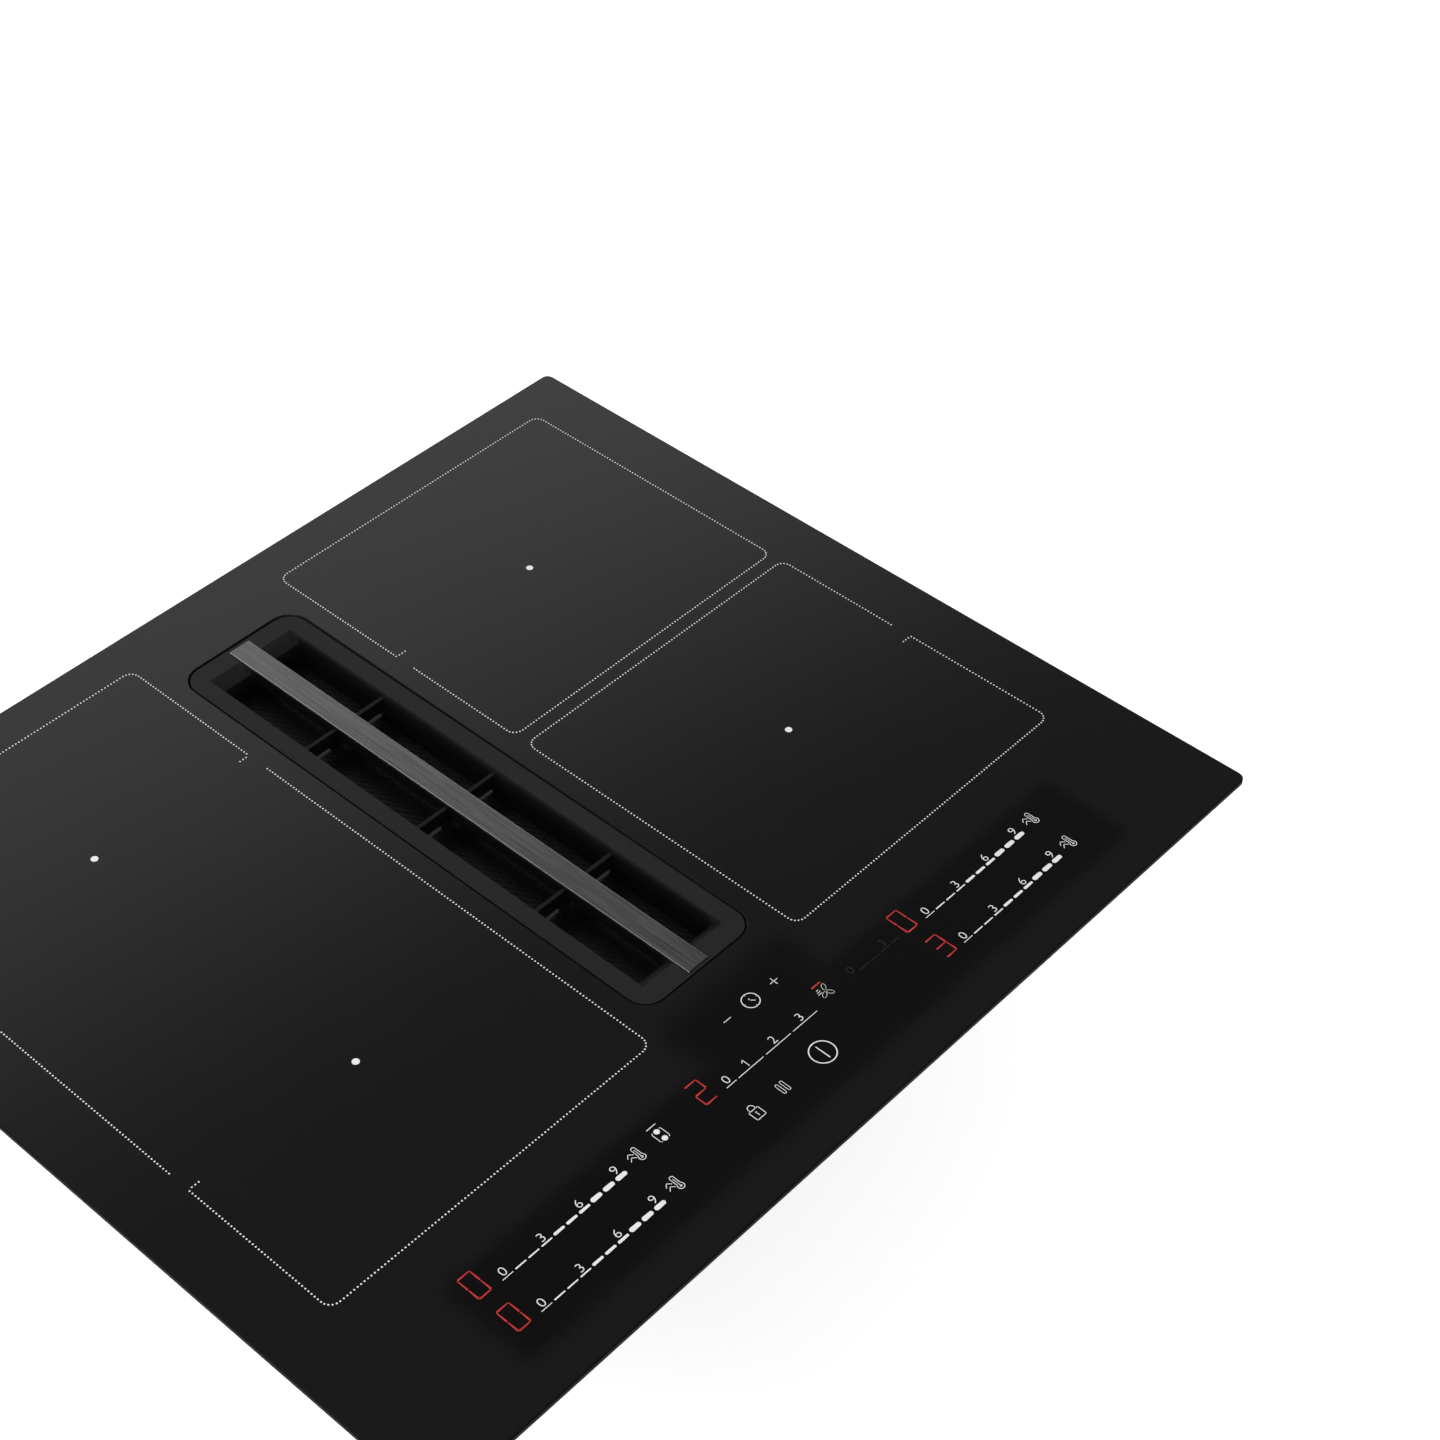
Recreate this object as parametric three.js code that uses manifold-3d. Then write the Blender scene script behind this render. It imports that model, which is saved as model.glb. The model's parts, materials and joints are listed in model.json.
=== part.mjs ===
// A downdraft induction cooktop: a frameless glass cooktop with four coils, and an
// extraction grille in its middle that draws the air down through a grease filter,
// a plenum and a radial blower to a flat duct at the back.
// Millimetres, +Z up, +X to the right, +Y to the back. The origin lies at the
// middle of the footprint, at the height of the blower's underside.

import * as THREE from "three";
import { mergeVertices } from "three/addons/utils/BufferGeometryUtils.js";
import Module from "manifold-3d";

const wasm = await Module();
wasm.setup();

// ---------------------------------------------------------------- driving dimensions

// General
const overallHeight = 210;
const seat = 0.3; // bedding gap between pieces that rest on each other
const slip = 0.6; // clearance beside a piece that lifts or slides out
const arcSteps = 2; // a rounded corner gets twice as many facets
const fineArcSteps = 3; // round the glass and the grille

// Glass panel
const glassWidth = 590;
const glassDepth = 520;
const glassThickness = 4;
const glassCornerRadius = 5;
const glassEdgeChamfer = 0.8;

// Seal under the rim of the glass
const sealInset = 3;
const sealWidth = 8;
const sealThickness = 2;

// Steel carrier frame glued to the glass, and the tray that hangs from it
const carrierThickness = 1.5;
const carrierToSeal = 8;
const carrierLap = 3;
const carrierSkirt = 10;
const traySideInset = 52;
const trayFrontInset = 34;
const trayHeight = 42;
const traySheet = 1.2;
const trayCornerRadius = 3;
const ventSlotWidth = 4;
const ventSlotLength = 48;
const ventSlotPitch = 9;
const ventSlotCount = 7;
const louvreWidth = 4; // slots in the rear wall of the tray
const louvreHeight = 18;
const louvrePitch = 10;
const louvreCount = 9;
const louvreCentreX = 132;

// Grille and its bar
const grilleWidth = 79;
const grilleFrontMargin = 121; // from the front edge of the glass
const grilleRearMargin = 51; // from its rear edge
const grilleCornerRadius = 12;
const grilleSeam = 0.6;
const grilleRecess = 0.4; // the rim lies this far below the glass
const rimHeight = 10.3;
const rimSkin = 3;
const rimWall = 2.4;
const rimSideWidth = 10.5;
const rimEndWidth = 12;
const throatSideChamfer = 2;
const throatEndChamfer = 6.8;
const throatChamferDepth = 6;
const throatDepth = 18;
const throatDraft = 0.7;
const throatEndDraft = 2.3;
const throatWall = 2.2;
const spineWidth = 13;
const spineHeight = 8;
const ribPitch = 86;
const ribCount = 3;
const ribThickness = 2.4;
const ribHeight = 10.5;
const ribDrop = 2.4;
const ribFootWidth = 4.6;
const ribFootHeight = 1.8;
const barWidth = 14;
const barEndGap = 2;
const barThickness = 2;

// Seat frame of the grille, duct below it and the filter in the duct
const seatFlange = 12;
const seatWall = 2;
const seatLedge = 2;
const filterSideInset = 9.5; // inside the outline of the grille
const filterEndInset = 11;
const filterHeight = 31;
const filterSheet = 1.2;
const filterLip = 4;
const meshThickness = 8;
const meshDrop = 0.4;
const ductWall = 2.4;
const ductLedge = 4;
const ductLedgeThickness = 2;

// Coils, laid out under the four half zones
const coilSideMargin = 55.5; // from the side edge of the glass to the winding
const coilRearMargin = 37;
const coilFrontMargin = 115;
const coilRowGap = 24;
const coilWidth = 166;
const coilCornerRadius = 52;
const coilEyeWidth = 44;
const coilEyeLength = 60;
const coilEyeRadius = 20;
const coilThickness = 5;
const coilBaseThickness = 3;
const ferriteHeight = 2;
const ferriteWidth = 12;
const ferriteLength = 34;
const ferriteCount = 8;
const coilSleeve = 2; // wall round the eye of the coil base
const matThickness = 3.4;
const plateSheet = 1.5;
const plateMargin = 1.2; // past the windings on all sides
const plateTopDrop = 18; // from the underside of the glass

// Power electronics
const boardWidth = 150;
const boardLength = 236;
const boardThickness = 1.6;
const boardStandoff = 5;
const boardFanGap = 26;
const boardPostRadius = 4;
const boardPostInset = 8;
const capacitorCount = 4;
const capacitorRadius = 9;
const capacitorHeight = 15;
const capacitorInset = 18; // from the outer edge of the board
const capacitorStart = 40; // from its front edge
const capacitorPitch = 48;
const chokeWidth = 22;
const chokeLength = 38;
const chokeHeight = 14;
const chokeSideInset = 19;
const chokeFrontInset = 24;
const sinkWidth = 44;
const sinkLength = 150;
const sinkBase = 3;
const sinkHeight = 15;
const finCount = 8;
const finThickness = 1.6;

// Cooling fans
const fanSize = 80;
const fanHeight = 20;
const fanCornerRadius = 5;
const fanBore = 36;
const fanHub = 15;
const fanBladeCount = 7;
const fanBladePitch = 38; // degrees
const fanBladeThickness = 1.4;
const fanSheet = 2; // hub plate and struts of the frame
const fanStrutWidth = 4;
const fanCentreX = 132;
const fanRearMargin = 95; // from the rear edge of the glass to the fan's axis

// Touch controls
const controlSideMargin = 80; // from the side edge of the glass
const controlDepth = 60;
const controlFrontMargin = 68; // from the front edge of the glass
const controlSheet = 2;
const controlBoardThickness = 1.6;
const displayWidth = 12;
const displayDepth = 17;
const displayHeight = 4;
const displayEndMargin = 9; // from the end of the touch board to the outer displays
const fanDisplayX = -58;
const innerDisplayX = 90;
const displayRowPitch = 24.5;
const displayRowShift = 2; // of the rear row, from the middle of the board

// Blower
const blowerOffset = 60; // behind the middle of the grille
const blowerHeight = 93;
const blowerWall = 2.4;
const scrollStartRadius = 90;
const scrollEndRadius = 138;
const tongueAngle = 75; // degrees
const outletReach = 143;
const outletShoulder = 55;
const blowerFlange = 5; // past the walls, where the two shells are screwed together
const blowerFlangeThickness = 2.4;
const shellRibCount = 10;
const shellRibReach = 3;
const shellRibThickness = 1.8;
const scrollSteps = 30;
const latheSides = 32;
const wheelRadius = 80;
const wheelInnerRadius = 66;
const wheelHeight = 66;
const wheelFloor = 14;
const wheelSheet = 2;
const bladeCount = 28;
const bladeThickness = 1.6;
const bladeSweep = 26; // degrees
const bladeSteps = 2;
const hubRadius = 40;
const hubRise = 6; // of the hub's top above the motor
const hubCorner = 3;
const motorClearance = 2;
const motorRadius = 36;
const motorHeight = 34;
const motorFootInset = 6;
const motorFootHeight = 4;
const motorFloor = 6; // below the end of the shaft
const shaftRadius = 4;
const inletRadius = 62;
const inletLip = 9;
const inletFlange = 5; // from the mouth of the ring to its outer edge
const inletFlare = 3;
const inletSheet = 2;

// Duct outlet at the back
const ductWidth = 222;
const ductHeight = 89;
const ductSheet = 1.8;
const ductFlange = 4;
const ductFlangeThickness = 3;
const ductSpigot = 18;
const ductBead = 1.5; // ridge round the spigot that grips the duct
const ductBeadWidth = 3;
const ductBeadInset = 5; // from the end of the spigot
const ductCentreX = 90;

// Plenum between the intake duct and the blower
const plenumFrontHalf = 45;
const plenumRearHalf = 86;
const plenumWall = 2.4;
const plenumFrontCorner = 12;
const plenumRearCorner = 20;
const plenumFlange = 5; // past the walls, under the cover
const plenumCoverThickness = 2.4;
const plenumRibCount = 6; // on each long wall
const plenumRibReach = 3;
const plenumRibThickness = 1.8;
const plenumRim = 6; // past the intake duct at both ends
const plenumRearLength = 206;
const drainRadius = 10;
const drainLength = 20;

// Sump housing and the overflow container that slides out of it
const sumpWidth = 100;
const sumpLength = 78;
const sumpGap = 1;
const sumpWall = 2;
const containerHeight = 58;
const containerWall = 2;
const frontPanelThickness = 3;
const gripHeight = 16;
const gripTopMargin = 12; // below the top of the blower

// Mains terminal box
const terminalSideMargin = 90; // from the side edge of the glass
const terminalRearMargin = 78;
const terminalWidth = 60;
const terminalDepth = 62;
const terminalHeight = 32;
const terminalWall = 2;
const coverThickness = 3;
const glandRadius = 9;
const glandBore = 5;
const glandLength = 18;
const glandThreadRadius = 6.3;
const glandNutLength = 7;
const glandNoseRadius = 7.2;
const terminalCoverCorner = 4;

// Worktop clamps
const clampGap = 0.8; // between the arm's round end and the tray
const clampEndMargin = 106; // from the end of the tray to the clamp's screw
const clampArm = 46;
const clampWidth = 14;
const clampThickness = 3;
const clampDrop = 30; // from the seal's underside to the top of the toe
const clampToe = 6;
const screwRadius = 2.5;
const screwHead = 5;
const screwHeadHeight = 3;

// ---------------------------------------------------------------- levels and places

const glassTop = overallHeight;
const glassUnder = glassTop - glassThickness;
const sealTop = glassUnder - seat;
const sealUnder = sealTop - sealThickness;
const carrierTop = glassUnder - seat;
const carrierUnder = carrierTop - carrierThickness;
const trayTop = carrierUnder - seat;
const trayUnder = trayTop - trayHeight;
const trayFloor = trayUnder + traySheet;
const trayHalfX = glassWidth / 2 - traySideInset;
const trayHalfY = glassDepth / 2 - trayFrontInset;

const grilleLength = glassDepth - grilleFrontMargin - grilleRearMargin;
const grilleCentreY = glassDepth / 2 - grilleRearMargin - grilleLength / 2;
const throatWidth = grilleWidth - 2 * rimSideWidth;
const throatLength = grilleLength - 2 * rimEndWidth;
const barLength = grilleLength - 2 * barEndGap;
const filterWidth = grilleWidth - 2 * filterSideInset;
const filterLength = grilleLength - 2 * filterEndInset;

const rimTop = glassTop - grilleRecess;
const rimUnder = rimTop - rimHeight;
const throatUnder = glassTop - throatDepth;
const seatLedgeTop = rimUnder - seat;
const seatLedgeUnder = seatLedgeTop - seatLedge;
const filterTop = throatUnder - slip;
const filterUnder = filterTop - filterHeight;
const ductTop = seatLedgeUnder - seat;
const ductLedgeTop = filterUnder - seat;
const ductUnder = ductLedgeTop - ductLedgeThickness;
const ductHalfX = filterWidth / 2 + slip + ductWall;
const ductHalfY = filterLength / 2 + slip + ductWall;

const coilX = glassWidth / 2 - coilSideMargin - coilWidth / 2;
const coilLength = (glassDepth - coilFrontMargin - coilRearMargin - coilRowGap) / 2;
const rearCoilY = glassDepth / 2 - coilRearMargin - coilLength / 2;
const frontCoilY = rearCoilY - coilRowGap - coilLength;
const coilMiddleY = (frontCoilY + rearCoilY) / 2;
const coilFieldLength = 2 * coilLength + coilRowGap;
const plateTop = glassUnder - plateTopDrop;
const plateUnder = plateTop - plateSheet;
const coilBaseUnder = plateTop + seat;
const coilUnder = coilBaseUnder + coilBaseThickness + ferriteHeight + seat;
const coilTop = coilUnder + coilThickness;
const boardUnder = trayFloor + seat + boardStandoff;
const boardTop = boardUnder + boardThickness;

const fanCentreY = glassDepth / 2 - fanRearMargin;
const boardRear = fanCentreY - fanSize / 2 - boardFanGap;
const boardMiddleY = boardRear - boardLength / 2;
const controlMiddleY = -glassDepth / 2 + controlFrontMargin;
const controlWidth = glassWidth - 2 * controlSideMargin;

const blowerY = grilleCentreY + blowerOffset;
const plenumUnder = blowerHeight + seat;
const plenumTop = trayUnder - seat;
const plenumCoverUnder = plenumTop - plenumCoverThickness;
const plenumTubTop = plenumCoverUnder - seat;
const wheelTop = wheelFloor + wheelHeight;
const hubTop = blowerWall + motorHeight + hubRise;
const inletHole = inletRadius + inletFlange;
const outletY = blowerY + outletReach;
const plenumFront = grilleCentreY - ductHalfY - slip - plenumRim;
const plenumBack = grilleCentreY + ductHalfY + slip + plenumRim;
const sumpBack = blowerY - scrollRadius(270) - blowerWall - blowerFlange - sumpGap;
const sumpFront = sumpBack - sumpLength;
const drainY = (sumpFront + sumpBack) / 2;
const terminalX = -glassWidth / 2 + terminalSideMargin;
const terminalY = glassDepth / 2 - terminalRearMargin;
const clampX = trayHalfX + clampGap + clampWidth / 2;
const clampY = trayHalfY - clampEndMargin;
const radians = THREE.MathUtils.degToRad;

// The inner radius of the scroll, which grows steadily from the tongue round to the outlet.
function scrollRadius(degrees) {
  const share = (degrees - tongueAngle) / (360 - tongueAngle);
  return scrollStartRadius + share * (scrollEndRadius - scrollStartRadius);
}

// ---------------------------------------------------------------- materials

function finish(color, roughness, metalness) {
  return new THREE.MeshStandardMaterial({ color, roughness, metalness });
}
const blackGlass = finish(0x0c0c0e, 0.06, 0);
const blackPlastic = finish(0x1b1b1d, 0.5, 0);
const greyPlastic = finish(0x4a4c50, 0.55, 0);
const brushedSteel = finish(0xa9a9a8, 0.35, 1);
const zincSteel = finish(0x9ba0a4, 0.45, 1);
const aluminium = finish(0xb4b6b8, 0.4, 1);
const copper = finish(0xa5603a, 0.4, 1);
const foamRubber = finish(0x2a2a2a, 0.9, 0);
const ceramicFelt = finish(0xe4e2da, 0.95, 0);
const circuitBoard = finish(0x1f5a35, 0.6, 0);

// ---------------------------------------------------------------- helpers

const cooktop = new THREE.Group();

function add(name, geometry, material) {
  const mesh = new THREE.Mesh(geometry, material);
  mesh.name = name;
  cooktop.add(mesh);
  return mesh;
}

function solidOf(geometry) {
  const bare = geometry.clone();
  bare.deleteAttribute("normal");
  bare.deleteAttribute("uv");
  const merged = mergeVertices(bare, 1e-4);
  const vertProperties = Float32Array.from(merged.attributes.position.array);
  const triVerts = Uint32Array.from(merged.index.array);
  return new wasm.Manifold(new wasm.Mesh({ numProp: 3, vertProperties, triVerts }));
}

function geometryOf(solid) {
  const mesh = solid.getMesh();
  const geometry = new THREE.BufferGeometry();
  geometry.setAttribute("position", new THREE.BufferAttribute(mesh.vertProperties, 3));
  geometry.setIndex(new THREE.BufferAttribute(mesh.triVerts, 1));
  return geometry;
}

function join(first, ...others) {
  const whole = others.reduce((solid, other) => solid.add(solidOf(other)), solidOf(first));
  return geometryOf(whole);
}

function cut(body, ...tools) {
  const rest = tools.reduce((solid, tool) => solid.subtract(solidOf(tool)), solidOf(body));
  return geometryOf(rest);
}

function block(x0, x1, y0, y1, z0, z1) {
  const box = new THREE.BoxGeometry(x1 - x0, y1 - y0, z1 - z0);
  return box.translate((x0 + x1) / 2, (y0 + y1) / 2, (z0 + z1) / 2);
}

function disc(radius, z0, z1, x, y, sides = 32) {
  const cylinder = new THREE.CylinderGeometry(radius, radius, z1 - z0, sides);
  return cylinder.rotateX(Math.PI / 2).translate(x, y, (z0 + z1) / 2);
}

// A solid of revolution about an upright axis, from a closed profile of [radius, height].
function turn(profile, sides) {
  const points = [...profile, profile[0]].map(([radius, height]) => new THREE.Vector2(radius, height));
  const clockwise = THREE.ShapeUtils.isClockWise(points);
  const geometry = new THREE.LatheGeometry(clockwise ? points.reverse() : points, sides);
  return geometry.rotateX(Math.PI / 2);
}

function roundedRectangle(halfX, halfY, radius, x = 0, y = 0) {
  const shape = new THREE.Shape();
  const corners = [[1, -1], [1, 1], [-1, 1], [-1, -1]];
  corners.forEach(([sideX, sideY], index) => {
    const centreX = x + sideX * (halfX - radius);
    const centreY = y + sideY * (halfY - radius);
    const from = (index - 1) * Math.PI / 2;
    shape.absarc(centreX, centreY, radius, from, from + Math.PI / 2, false);
  });
  return shape;
}

function extrude(shape, z0, z1, steps = arcSteps) {
  const settings = { depth: z1 - z0, bevelEnabled: false, curveSegments: steps };
  return new THREE.ExtrudeGeometry(shape, settings).translate(0, 0, z0);
}

function ringPlate(outer, inner, z0, z1) {
  outer.holes.push(inner);
  return extrude(outer, z0, z1);
}

// A solid through rectangles that lie one above the other.
function loftRectangles(sections) {
  const positions = [];
  sections.forEach(({ halfX, halfY, y, z }) => {
    positions.push(-halfX, y - halfY, z, halfX, y - halfY, z);
    positions.push(halfX, y + halfY, z, -halfX, y + halfY, z);
  });
  const faces = [0, 2, 1, 0, 3, 2];
  for (let level = 0; level < sections.length - 1; level += 1) {
    for (let side = 0; side < 4; side += 1) {
      const here = 4 * level + side;
      const next = 4 * level + (side + 1) % 4;
      faces.push(here, next, next + 4, here, next + 4, here + 4);
    }
  }
  const top = 4 * (sections.length - 1);
  faces.push(top, top + 1, top + 2, top, top + 2, top + 3);
  const geometry = new THREE.BufferGeometry();
  geometry.setAttribute("position", new THREE.Float32BufferAttribute(positions, 3));
  geometry.setIndex(faces);
  return geometry;
}

function bothSides(build) {
  build("left", -1);
  build("right", 1);
}

// ---------------------------------------------------------------- glass, seal, carrier, tray

function glassPanel() {
  const outline = roundedRectangle(glassWidth / 2, glassDepth / 2, glassCornerRadius);
  const opening = roundedRectangle(
    grilleWidth / 2 + grilleSeam,
    grilleLength / 2 + grilleSeam,
    grilleCornerRadius + grilleSeam,
    0,
    grilleCentreY,
  );
  outline.holes.push(opening);
  const panel = new THREE.ExtrudeGeometry(outline, {
    depth: glassThickness - 2 * glassEdgeChamfer,
    bevelThickness: glassEdgeChamfer,
    bevelSize: glassEdgeChamfer,
    bevelOffset: -glassEdgeChamfer,
    bevelSegments: 1,
    curveSegments: fineArcSteps,
  });
  return panel.translate(0, 0, glassUnder + glassEdgeChamfer);
}

function rimSeal() {
  const halfX = glassWidth / 2 - sealInset;
  const halfY = glassDepth / 2 - sealInset;
  const outer = roundedRectangle(halfX, halfY, glassCornerRadius);
  const inner = roundedRectangle(halfX - sealWidth, halfY - sealWidth, glassCornerRadius);
  return ringPlate(outer, inner, sealUnder, sealTop);
}

function carrierFrame() {
  const halfX = glassWidth / 2 - sealInset - sealWidth - carrierToSeal;
  const halfY = glassDepth / 2 - sealInset - sealWidth - carrierToSeal;
  const outer = roundedRectangle(halfX, halfY, trayCornerRadius);
  const lap = roundedRectangle(trayHalfX - carrierLap, trayHalfY - carrierLap, trayCornerRadius);
  const plate = ringPlate(outer, lap, carrierUnder, carrierTop);
  const skirtX = trayHalfX + seat;
  const skirtY = trayHalfY + seat;
  const skirt = ringPlate(
    roundedRectangle(skirtX + carrierThickness, skirtY + carrierThickness, trayCornerRadius + seat),
    roundedRectangle(skirtX, skirtY, trayCornerRadius + seat),
    carrierUnder - carrierSkirt,
    carrierUnder + carrierThickness / 2,
  );
  return join(plate, skirt);
}

function ventSlots(centreX, centreY, z0, z1) {
  const slots = [];
  for (let index = 0; index < ventSlotCount; index += 1) {
    const x = centreX + (index - (ventSlotCount - 1) / 2) * ventSlotPitch;
    const halfWidth = ventSlotWidth / 2;
    const halfLength = ventSlotLength / 2;
    slots.push(block(x - halfWidth, x + halfWidth, centreY - halfLength, centreY + halfLength, z0, z1));
  }
  return slots;
}

function louvres(centreX) {
  const slots = [];
  const middle = (trayFloor + trayTop - carrierSkirt) / 2;
  for (let index = 0; index < louvreCount; index += 1) {
    const x = centreX + (index - (louvreCount - 1) / 2) * louvrePitch;
    const y0 = trayHalfY - 2 * traySheet;
    const z0 = middle - louvreHeight / 2;
    slots.push(block(x - louvreWidth / 2, x + louvreWidth / 2, y0, trayHalfY + 1, z0, z0 + louvreHeight));
  }
  return slots;
}

function electronicsTray() {
  const shell = extrude(roundedRectangle(trayHalfX, trayHalfY, trayCornerRadius), trayUnder, trayTop);
  const inside = extrude(
    roundedRectangle(trayHalfX - traySheet, trayHalfY - traySheet, trayCornerRadius - traySheet),
    trayFloor,
    trayTop + 1,
  );
  const ductHole = block(
    -ductHalfX - slip,
    ductHalfX + slip,
    grilleCentreY - ductHalfY - slip,
    grilleCentreY + ductHalfY + slip,
    trayUnder - 1,
    trayFloor + 1,
  );
  return cut(
    shell,
    inside,
    ductHole,
    ...ventSlots(-fanCentreX, fanCentreY, trayUnder - 1, trayFloor + 1),
    ...ventSlots(fanCentreX, fanCentreY, trayUnder - 1, trayFloor + 1),
    ...louvres(-louvreCentreX),
    ...louvres(louvreCentreX),
  );
}

add("glass_panel", glassPanel(), blackGlass);
add("rim_seal", rimSeal(), foamRubber);
add("carrier_frame", carrierFrame(), zincSteel);
add("electronics_tray", electronicsTray(), zincSteel);

// ---------------------------------------------------------------- grille

function throatSections(grow) {
  const halfX = throatWidth / 2 + grow;
  const halfY = throatLength / 2 + grow;
  const y = grilleCentreY;
  const shoulderX = halfX - throatSideChamfer;
  const shoulderY = halfY - throatEndChamfer;
  return [
    { halfX: shoulderX - throatDraft, halfY: shoulderY - throatEndDraft, y, z: throatUnder },
    { halfX: shoulderX, halfY: shoulderY, y, z: rimTop - throatChamferDepth },
    { halfX, halfY, y, z: rimTop },
  ];
}

function throatBore() {
  const sections = throatSections(0);
  const lowest = { ...sections[0], z: throatUnder - 1 };
  const highest = { ...sections[2], z: rimTop + 1 };
  return loftRectangles([lowest, ...sections, highest]);
}

function grilleRim() {
  const outerX = grilleWidth / 2;
  const outerY = grilleLength / 2;
  const rim = extrude(
    roundedRectangle(outerX, outerY, grilleCornerRadius, 0, grilleCentreY),
    rimUnder,
    rimTop,
    fineArcSteps,
  );
  const hollow = extrude(
    roundedRectangle(
      outerX - rimWall,
      outerY - rimWall,
      grilleCornerRadius - rimWall,
      0,
      grilleCentreY,
    ),
    rimUnder - 1,
    rimTop - rimSkin,
  );
  return cut(rim, hollow);
}

function ribAt(y) {
  const halfX = throatWidth / 2 - throatSideChamfer + throatWall / 2;
  const top = rimTop - ribDrop;
  const foot = top - ribHeight;
  const web = block(-halfX, halfX, y - ribThickness / 2, y + ribThickness / 2, foot, top);
  const bead = block(-halfX, halfX, y - ribFootWidth / 2, y + ribFootWidth / 2, foot, foot + ribFootHeight);
  return [web, bead];
}

function grilleFrame() {
  const walls = loftRectangles(throatSections(throatWall));
  const spineTop = glassTop - barThickness - seat;
  const spineHalfLength = throatLength / 2 - throatEndChamfer / 2;
  const spine = block(
    -spineWidth / 2,
    spineWidth / 2,
    grilleCentreY - spineHalfLength,
    grilleCentreY + spineHalfLength,
    spineTop - spineHeight,
    spineTop,
  );
  const ribs = [];
  for (let index = 0; index < ribCount; index += 1) {
    ribs.push(...ribAt(grilleCentreY + (index - (ribCount - 1) / 2) * ribPitch));
  }
  const barSlot = block(
    -barWidth / 2 - seat,
    barWidth / 2 + seat,
    grilleCentreY - barLength / 2 - seat,
    grilleCentreY + barLength / 2 + seat,
    spineTop,
    rimTop + 1,
  );
  const moulding = cut(join(grilleRim(), walls), throatBore());
  return cut(join(moulding, spine, ...ribs), barSlot);
}

function grilleBar() {
  const halfX = barWidth / 2;
  const halfY = barLength / 2;
  const under = glassTop - barThickness;
  return block(-halfX, halfX, grilleCentreY - halfY, grilleCentreY + halfY, under, glassTop);
}

add("grille_frame", grilleFrame(), blackPlastic);
add("grille_bar", grilleBar(), brushedSteel);

// ---------------------------------------------------------------- seat frame, duct, filter

function intakeSeatFrame() {
  const halfX = grilleWidth / 2 + grilleSeam;
  const halfY = grilleLength / 2 + grilleSeam;
  const radius = grilleCornerRadius + grilleSeam;
  const wallX = halfX + seatWall;
  const wallY = halfY + seatWall;
  const around = (growX, growY, grow) => roundedRectangle(growX, growY, grow, 0, grilleCentreY);
  const flange = extrude(
    around(halfX + seatFlange, halfY + seatFlange, radius + seatFlange),
    sealUnder,
    sealTop,
  );
  const pocket = extrude(around(wallX, wallY, radius + seatWall), seatLedgeUnder, sealTop - 1);
  const well = extrude(around(halfX, halfY, radius), seatLedgeTop, sealTop + 1);
  const passX = filterWidth / 2 + slip;
  const passY = filterLength / 2 + slip;
  const pass = block(
    -passX,
    passX,
    grilleCentreY - passY,
    grilleCentreY + passY,
    seatLedgeUnder - 1,
    seatLedgeTop + 1,
  );
  return cut(join(flange, pocket), well, pass);
}

function intakeDuct() {
  const outer = block(
    -ductHalfX,
    ductHalfX,
    grilleCentreY - ductHalfY,
    grilleCentreY + ductHalfY,
    ductUnder,
    ductTop,
  );
  const boreX = ductHalfX - ductWall;
  const boreY = ductHalfY - ductWall;
  const bore = block(
    -boreX,
    boreX,
    grilleCentreY - boreY,
    grilleCentreY + boreY,
    ductLedgeTop,
    ductTop + 1,
  );
  const mouth = block(
    -boreX + ductLedge,
    boreX - ductLedge,
    grilleCentreY - boreY + ductLedge,
    grilleCentreY + boreY - ductLedge,
    ductUnder - 1,
    ductLedgeTop + 1,
  );
  return cut(outer, bore, mouth);
}

function filterFrame() {
  const halfX = filterWidth / 2;
  const halfY = filterLength / 2;
  const shell = block(-halfX, halfX, grilleCentreY - halfY, grilleCentreY + halfY, filterUnder, filterTop);
  const inside = block(
    -halfX + filterSheet,
    halfX - filterSheet,
    grilleCentreY - halfY + filterSheet,
    grilleCentreY + halfY - filterSheet,
    filterUnder + filterSheet,
    filterTop + 1,
  );
  const bays = [-1, 1].map((side) => {
    const near = filterLip / 2;
    const far = halfX - filterSheet - filterLip;
    return block(
      Math.min(side * near, side * far),
      Math.max(side * near, side * far),
      grilleCentreY - halfY + filterSheet + filterLip,
      grilleCentreY + halfY - filterSheet - filterLip,
      filterUnder - 1,
      filterUnder + filterSheet + 1,
    );
  });
  const shelfTop = filterTop - meshDrop - meshThickness - seat;
  const divider = block(
    -filterSheet / 2,
    filterSheet / 2,
    grilleCentreY - halfY + filterSheet / 2,
    grilleCentreY + halfY - filterSheet / 2,
    filterUnder + filterSheet / 2,
    filterTop - meshDrop,
  );
  const shelves = [-1, 1].map((side) => block(
    -halfX + filterSheet / 2,
    halfX - filterSheet / 2,
    grilleCentreY + side * (halfY - filterSheet - filterLip / 2) - filterLip / 2,
    grilleCentreY + side * (halfY - filterSheet - filterLip / 2) + filterLip / 2,
    shelfTop - filterSheet,
    shelfTop,
  ));
  return join(cut(shell, inside, ...bays), divider, ...shelves);
}

function filterMesh(side) {
  const near = filterSheet / 2 + seat;
  const far = filterWidth / 2 - filterSheet - seat;
  const halfY = filterLength / 2 - filterSheet - seat;
  const top = filterTop - meshDrop;
  return block(
    Math.min(side * near, side * far),
    Math.max(side * near, side * far),
    grilleCentreY - halfY,
    grilleCentreY + halfY,
    top - meshThickness,
    top,
  );
}

add("intake_seat_frame", intakeSeatFrame(), blackPlastic);
add("intake_duct", intakeDuct(), blackPlastic);
add("filter_frame", filterFrame(), brushedSteel);
bothSides((name, side) => add(`filter_mesh_${name}`, filterMesh(side), aluminium));

// ---------------------------------------------------------------- coils

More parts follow.
